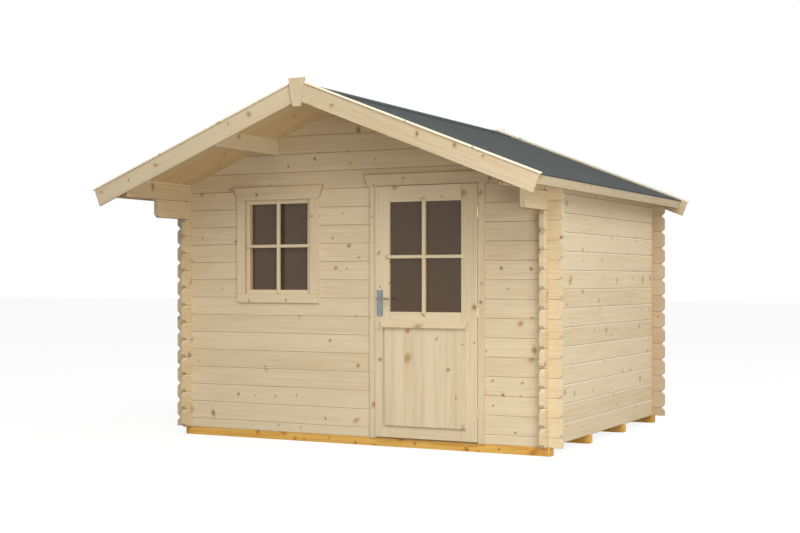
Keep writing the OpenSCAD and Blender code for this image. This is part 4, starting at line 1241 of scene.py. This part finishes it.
class GH_OT_fixings(Operator):
    """Drives the screws and nails"""

    bl_idname = "garden_house.fixings"
    bl_label = "Screws and nails"

    def execute(self, context):
        door, roof = context.scene.gh_door, context.scene.gh_roof
        zinc = metal_material("zinc_fixings", door.zinc, 0.42)
        clout = metal_material("galvanised_clouts", roof.clout, 0.55)
        for name, surface, body, metal in (
                ("trim_screws", self.trim_screws(), "house", zinc),
                ("drip_board_screws", self.drip_screws(), "door", zinc),
                ("handle_screws", self.handle_screws(), "door", zinc),
                ("roof_edge_nails", self.roof_edge_nails(), "house", zinc),
                ("felt_nails", self.felt_nails(roof.sheet_w), "house", clout),
                ("floor_nails", self.floor_nails(roof.floor_boards), "house", zinc)):
            add_piece(name, surface, body, "zinc_steel", metal)
        return {"FINISHED"}

    def trim_screws(self):
        """Down the middle of the uprights of the door's and the window's outer trim."""
        y = low("door_outer_trim", Y)
        sets = []
        for name, pitch, lift in (("door", 0.42, 0.06), ("window", 0.3, 0.1)):
            trim, pane = f"{name}_outer_trim", f"{name}_glass"
            uprights = [sum(upright_edges(trim, pane, side)) / 2 for _, side in SIDES]
            sets.append(grid(uprights, [y], every(low(trim, Z) + lift, high(pane, Z), pitch)))
        return turned(np.concatenate(sets), (0, -1, 0), SCREW)

    def drip_screws(self, inset=60 * MM, pitch=0.2):
        """Along the middle of the drip board's sloping face."""
        points = points_of("door_drip_board")
        (x0, nose_y, _), (x1, _, top_z) = corners("door_drip_board")
        nose_z = points[points[:, Y] < nose_y + MM, Z].max()
        top_y = points[points[:, Z] > top_z - MM, Y].min()
        places = grid(every(x0 + inset, x1 - inset, pitch), [(nose_y + top_y) / 2],
                      [(nose_z + top_z) / 2])
        return turned(places, (0, nose_z - top_z, top_y - nose_y), NAIL)

    def handle_screws(self, inset=12 * MM):
        """At the head and foot of both handle plates."""
        (_, front, foot), (_, back, head) = corners("door_handle_plates")
        x, heights = middle("door_handle_plates", X), (foot + inset, head - inset)
        return joined([turned(grid([x], [y], heights), (0, out, 0), SCREW)
                       for y, out in ((front, -1), (back, 1))])

    def roof_edge_nails(self, inset=30 * MM):
        """In pairs through the bargeboards, and in a row through the cover strips and the eaves boards."""
        upward, downhill = (SIN, 0.0, COS), (COS, 0.0, -SIN)
        (_, end), (foot, top) = slope_span("front_right_bargeboard")
        down, up = grid(every(0.2, end - 2 * inset, 0.42), (foot + inset, top - inset)).T
        sets = [turned(on_slope(sign, down, y, up), (0, out, 0), NAIL)
                for y, out in ((low("front_right_bargeboard", Y), -1),
                               (high("back_right_bargeboard", Y), 1))
                for _, sign in SIDES]
        for node in ("front_cover_strips", "back_cover_strips"):
            (_, end), (_, top) = slope_span(node)
            sets.append(on_both_slopes(NAIL, upward, every(0.15, end - 0.05, 0.35), [middle(node, Y)],
                                       [top]))
        node = "right_eaves_board"
        (_, end), (foot, _) = slope_span(node)
        along = every(low(node, Y) + 0.08, high(node, Y) - 0.08, 0.45)
        sets.append(on_both_slopes(NAIL, downhill, [end], along, [foot + inset]))
        return joined(sets)

    def felt_nails(self, sheet_w, pitch=0.1):
        """Clout nails above the sheets' lower edges and along the strip over the ridge."""
        (_, reach), (_, top) = slope_span("right_roof_felt")
        (_, ridge_edge), (_, ridge_top) = slope_span("ridge_felt")
        edge = reach - 3 * MM
        rows = np.append(sheet_edges(edge, sheet_w), edge) - 18 * MM
        sets = []
        for node, inset, down, up in (("right_roof_felt", 50 * MM, rows, top - 0.2 * MM),
                                      ("ridge_felt", 30 * MM, [ridge_edge - 15 * MM], ridge_top)):
            along = every(low(node, Y) + inset, high(node, Y) - inset, pitch)
            sets.append(on_both_slopes(CLOUT, (SIN, 0.0, COS), down, along, [up], 6))
        return joined(sets)

    def floor_nails(self, boards, inset=30 * MM, clear=10 * MM):
        """Two in each floor board over each joist, but none where the floor is cut for the door frame."""
        (x0, y0, _), (x1, y1, z1) = corners("floor_boards")
        joists = points_of("floor_joists")
        edges = np.unique(joists[joists[:, Z] < MM][:, Y].round(4)).reshape(-1, 2)
        rows = np.clip(edges.mean(1), y0 + inset, y1 - inset)
        across = x0 + (x1 - x0) / boards * (np.arange(boards)[:, None] + (0.25, 0.75)).ravel()
        places = grid(across, rows, [z1])
        for start, end, depth in floor_notches():
            x, y, _ = places.T
            places = places[(x <= start - clear) | (x >= end + clear) | (y >= depth + clear)]
        return turned(places, (0, 0, 1), NAIL, 6)


class GH_PT_pieces(Panel):
    """Lists the operators that make the garden house's looks"""

    bl_idname = "GH_PT_pieces"
    bl_label = "Garden House"
    bl_space_type = "VIEW_3D"
    bl_region_type = "UI"
    bl_category = "Garden House"

    def draw(self, context):
        for operator in OPERATORS:
            self.layout.operator(operator.bl_idname)


OPERATORS = (GH_OT_stage, GH_OT_shared_effects, GH_OT_logs, GH_OT_base, GH_OT_roof_timber, GH_OT_felt,
             GH_OT_frames, GH_OT_door_leaf, GH_OT_glazing, GH_OT_fittings, GH_OT_fixings)


def register():
    for kind in (*SETTINGS.values(), *OPERATORS, GH_PT_pieces):
        bpy.utils.register_class(kind)
    for name, kind in SETTINGS.items():
        setattr(bpy.types.Scene, name, PointerProperty(type=kind))


def unregister():
    for name in SETTINGS:
        delattr(bpy.types.Scene, name)
    for kind in (GH_PT_pieces, *reversed(OPERATORS), *reversed(SETTINGS.values())):
        bpy.utils.unregister_class(kind)


def main():
    register()
    for operator in OPERATORS:
        section, name = operator.bl_idname.split(".")
        getattr(getattr(bpy.ops, section), name)()


if __name__ == "__main__":
    main()
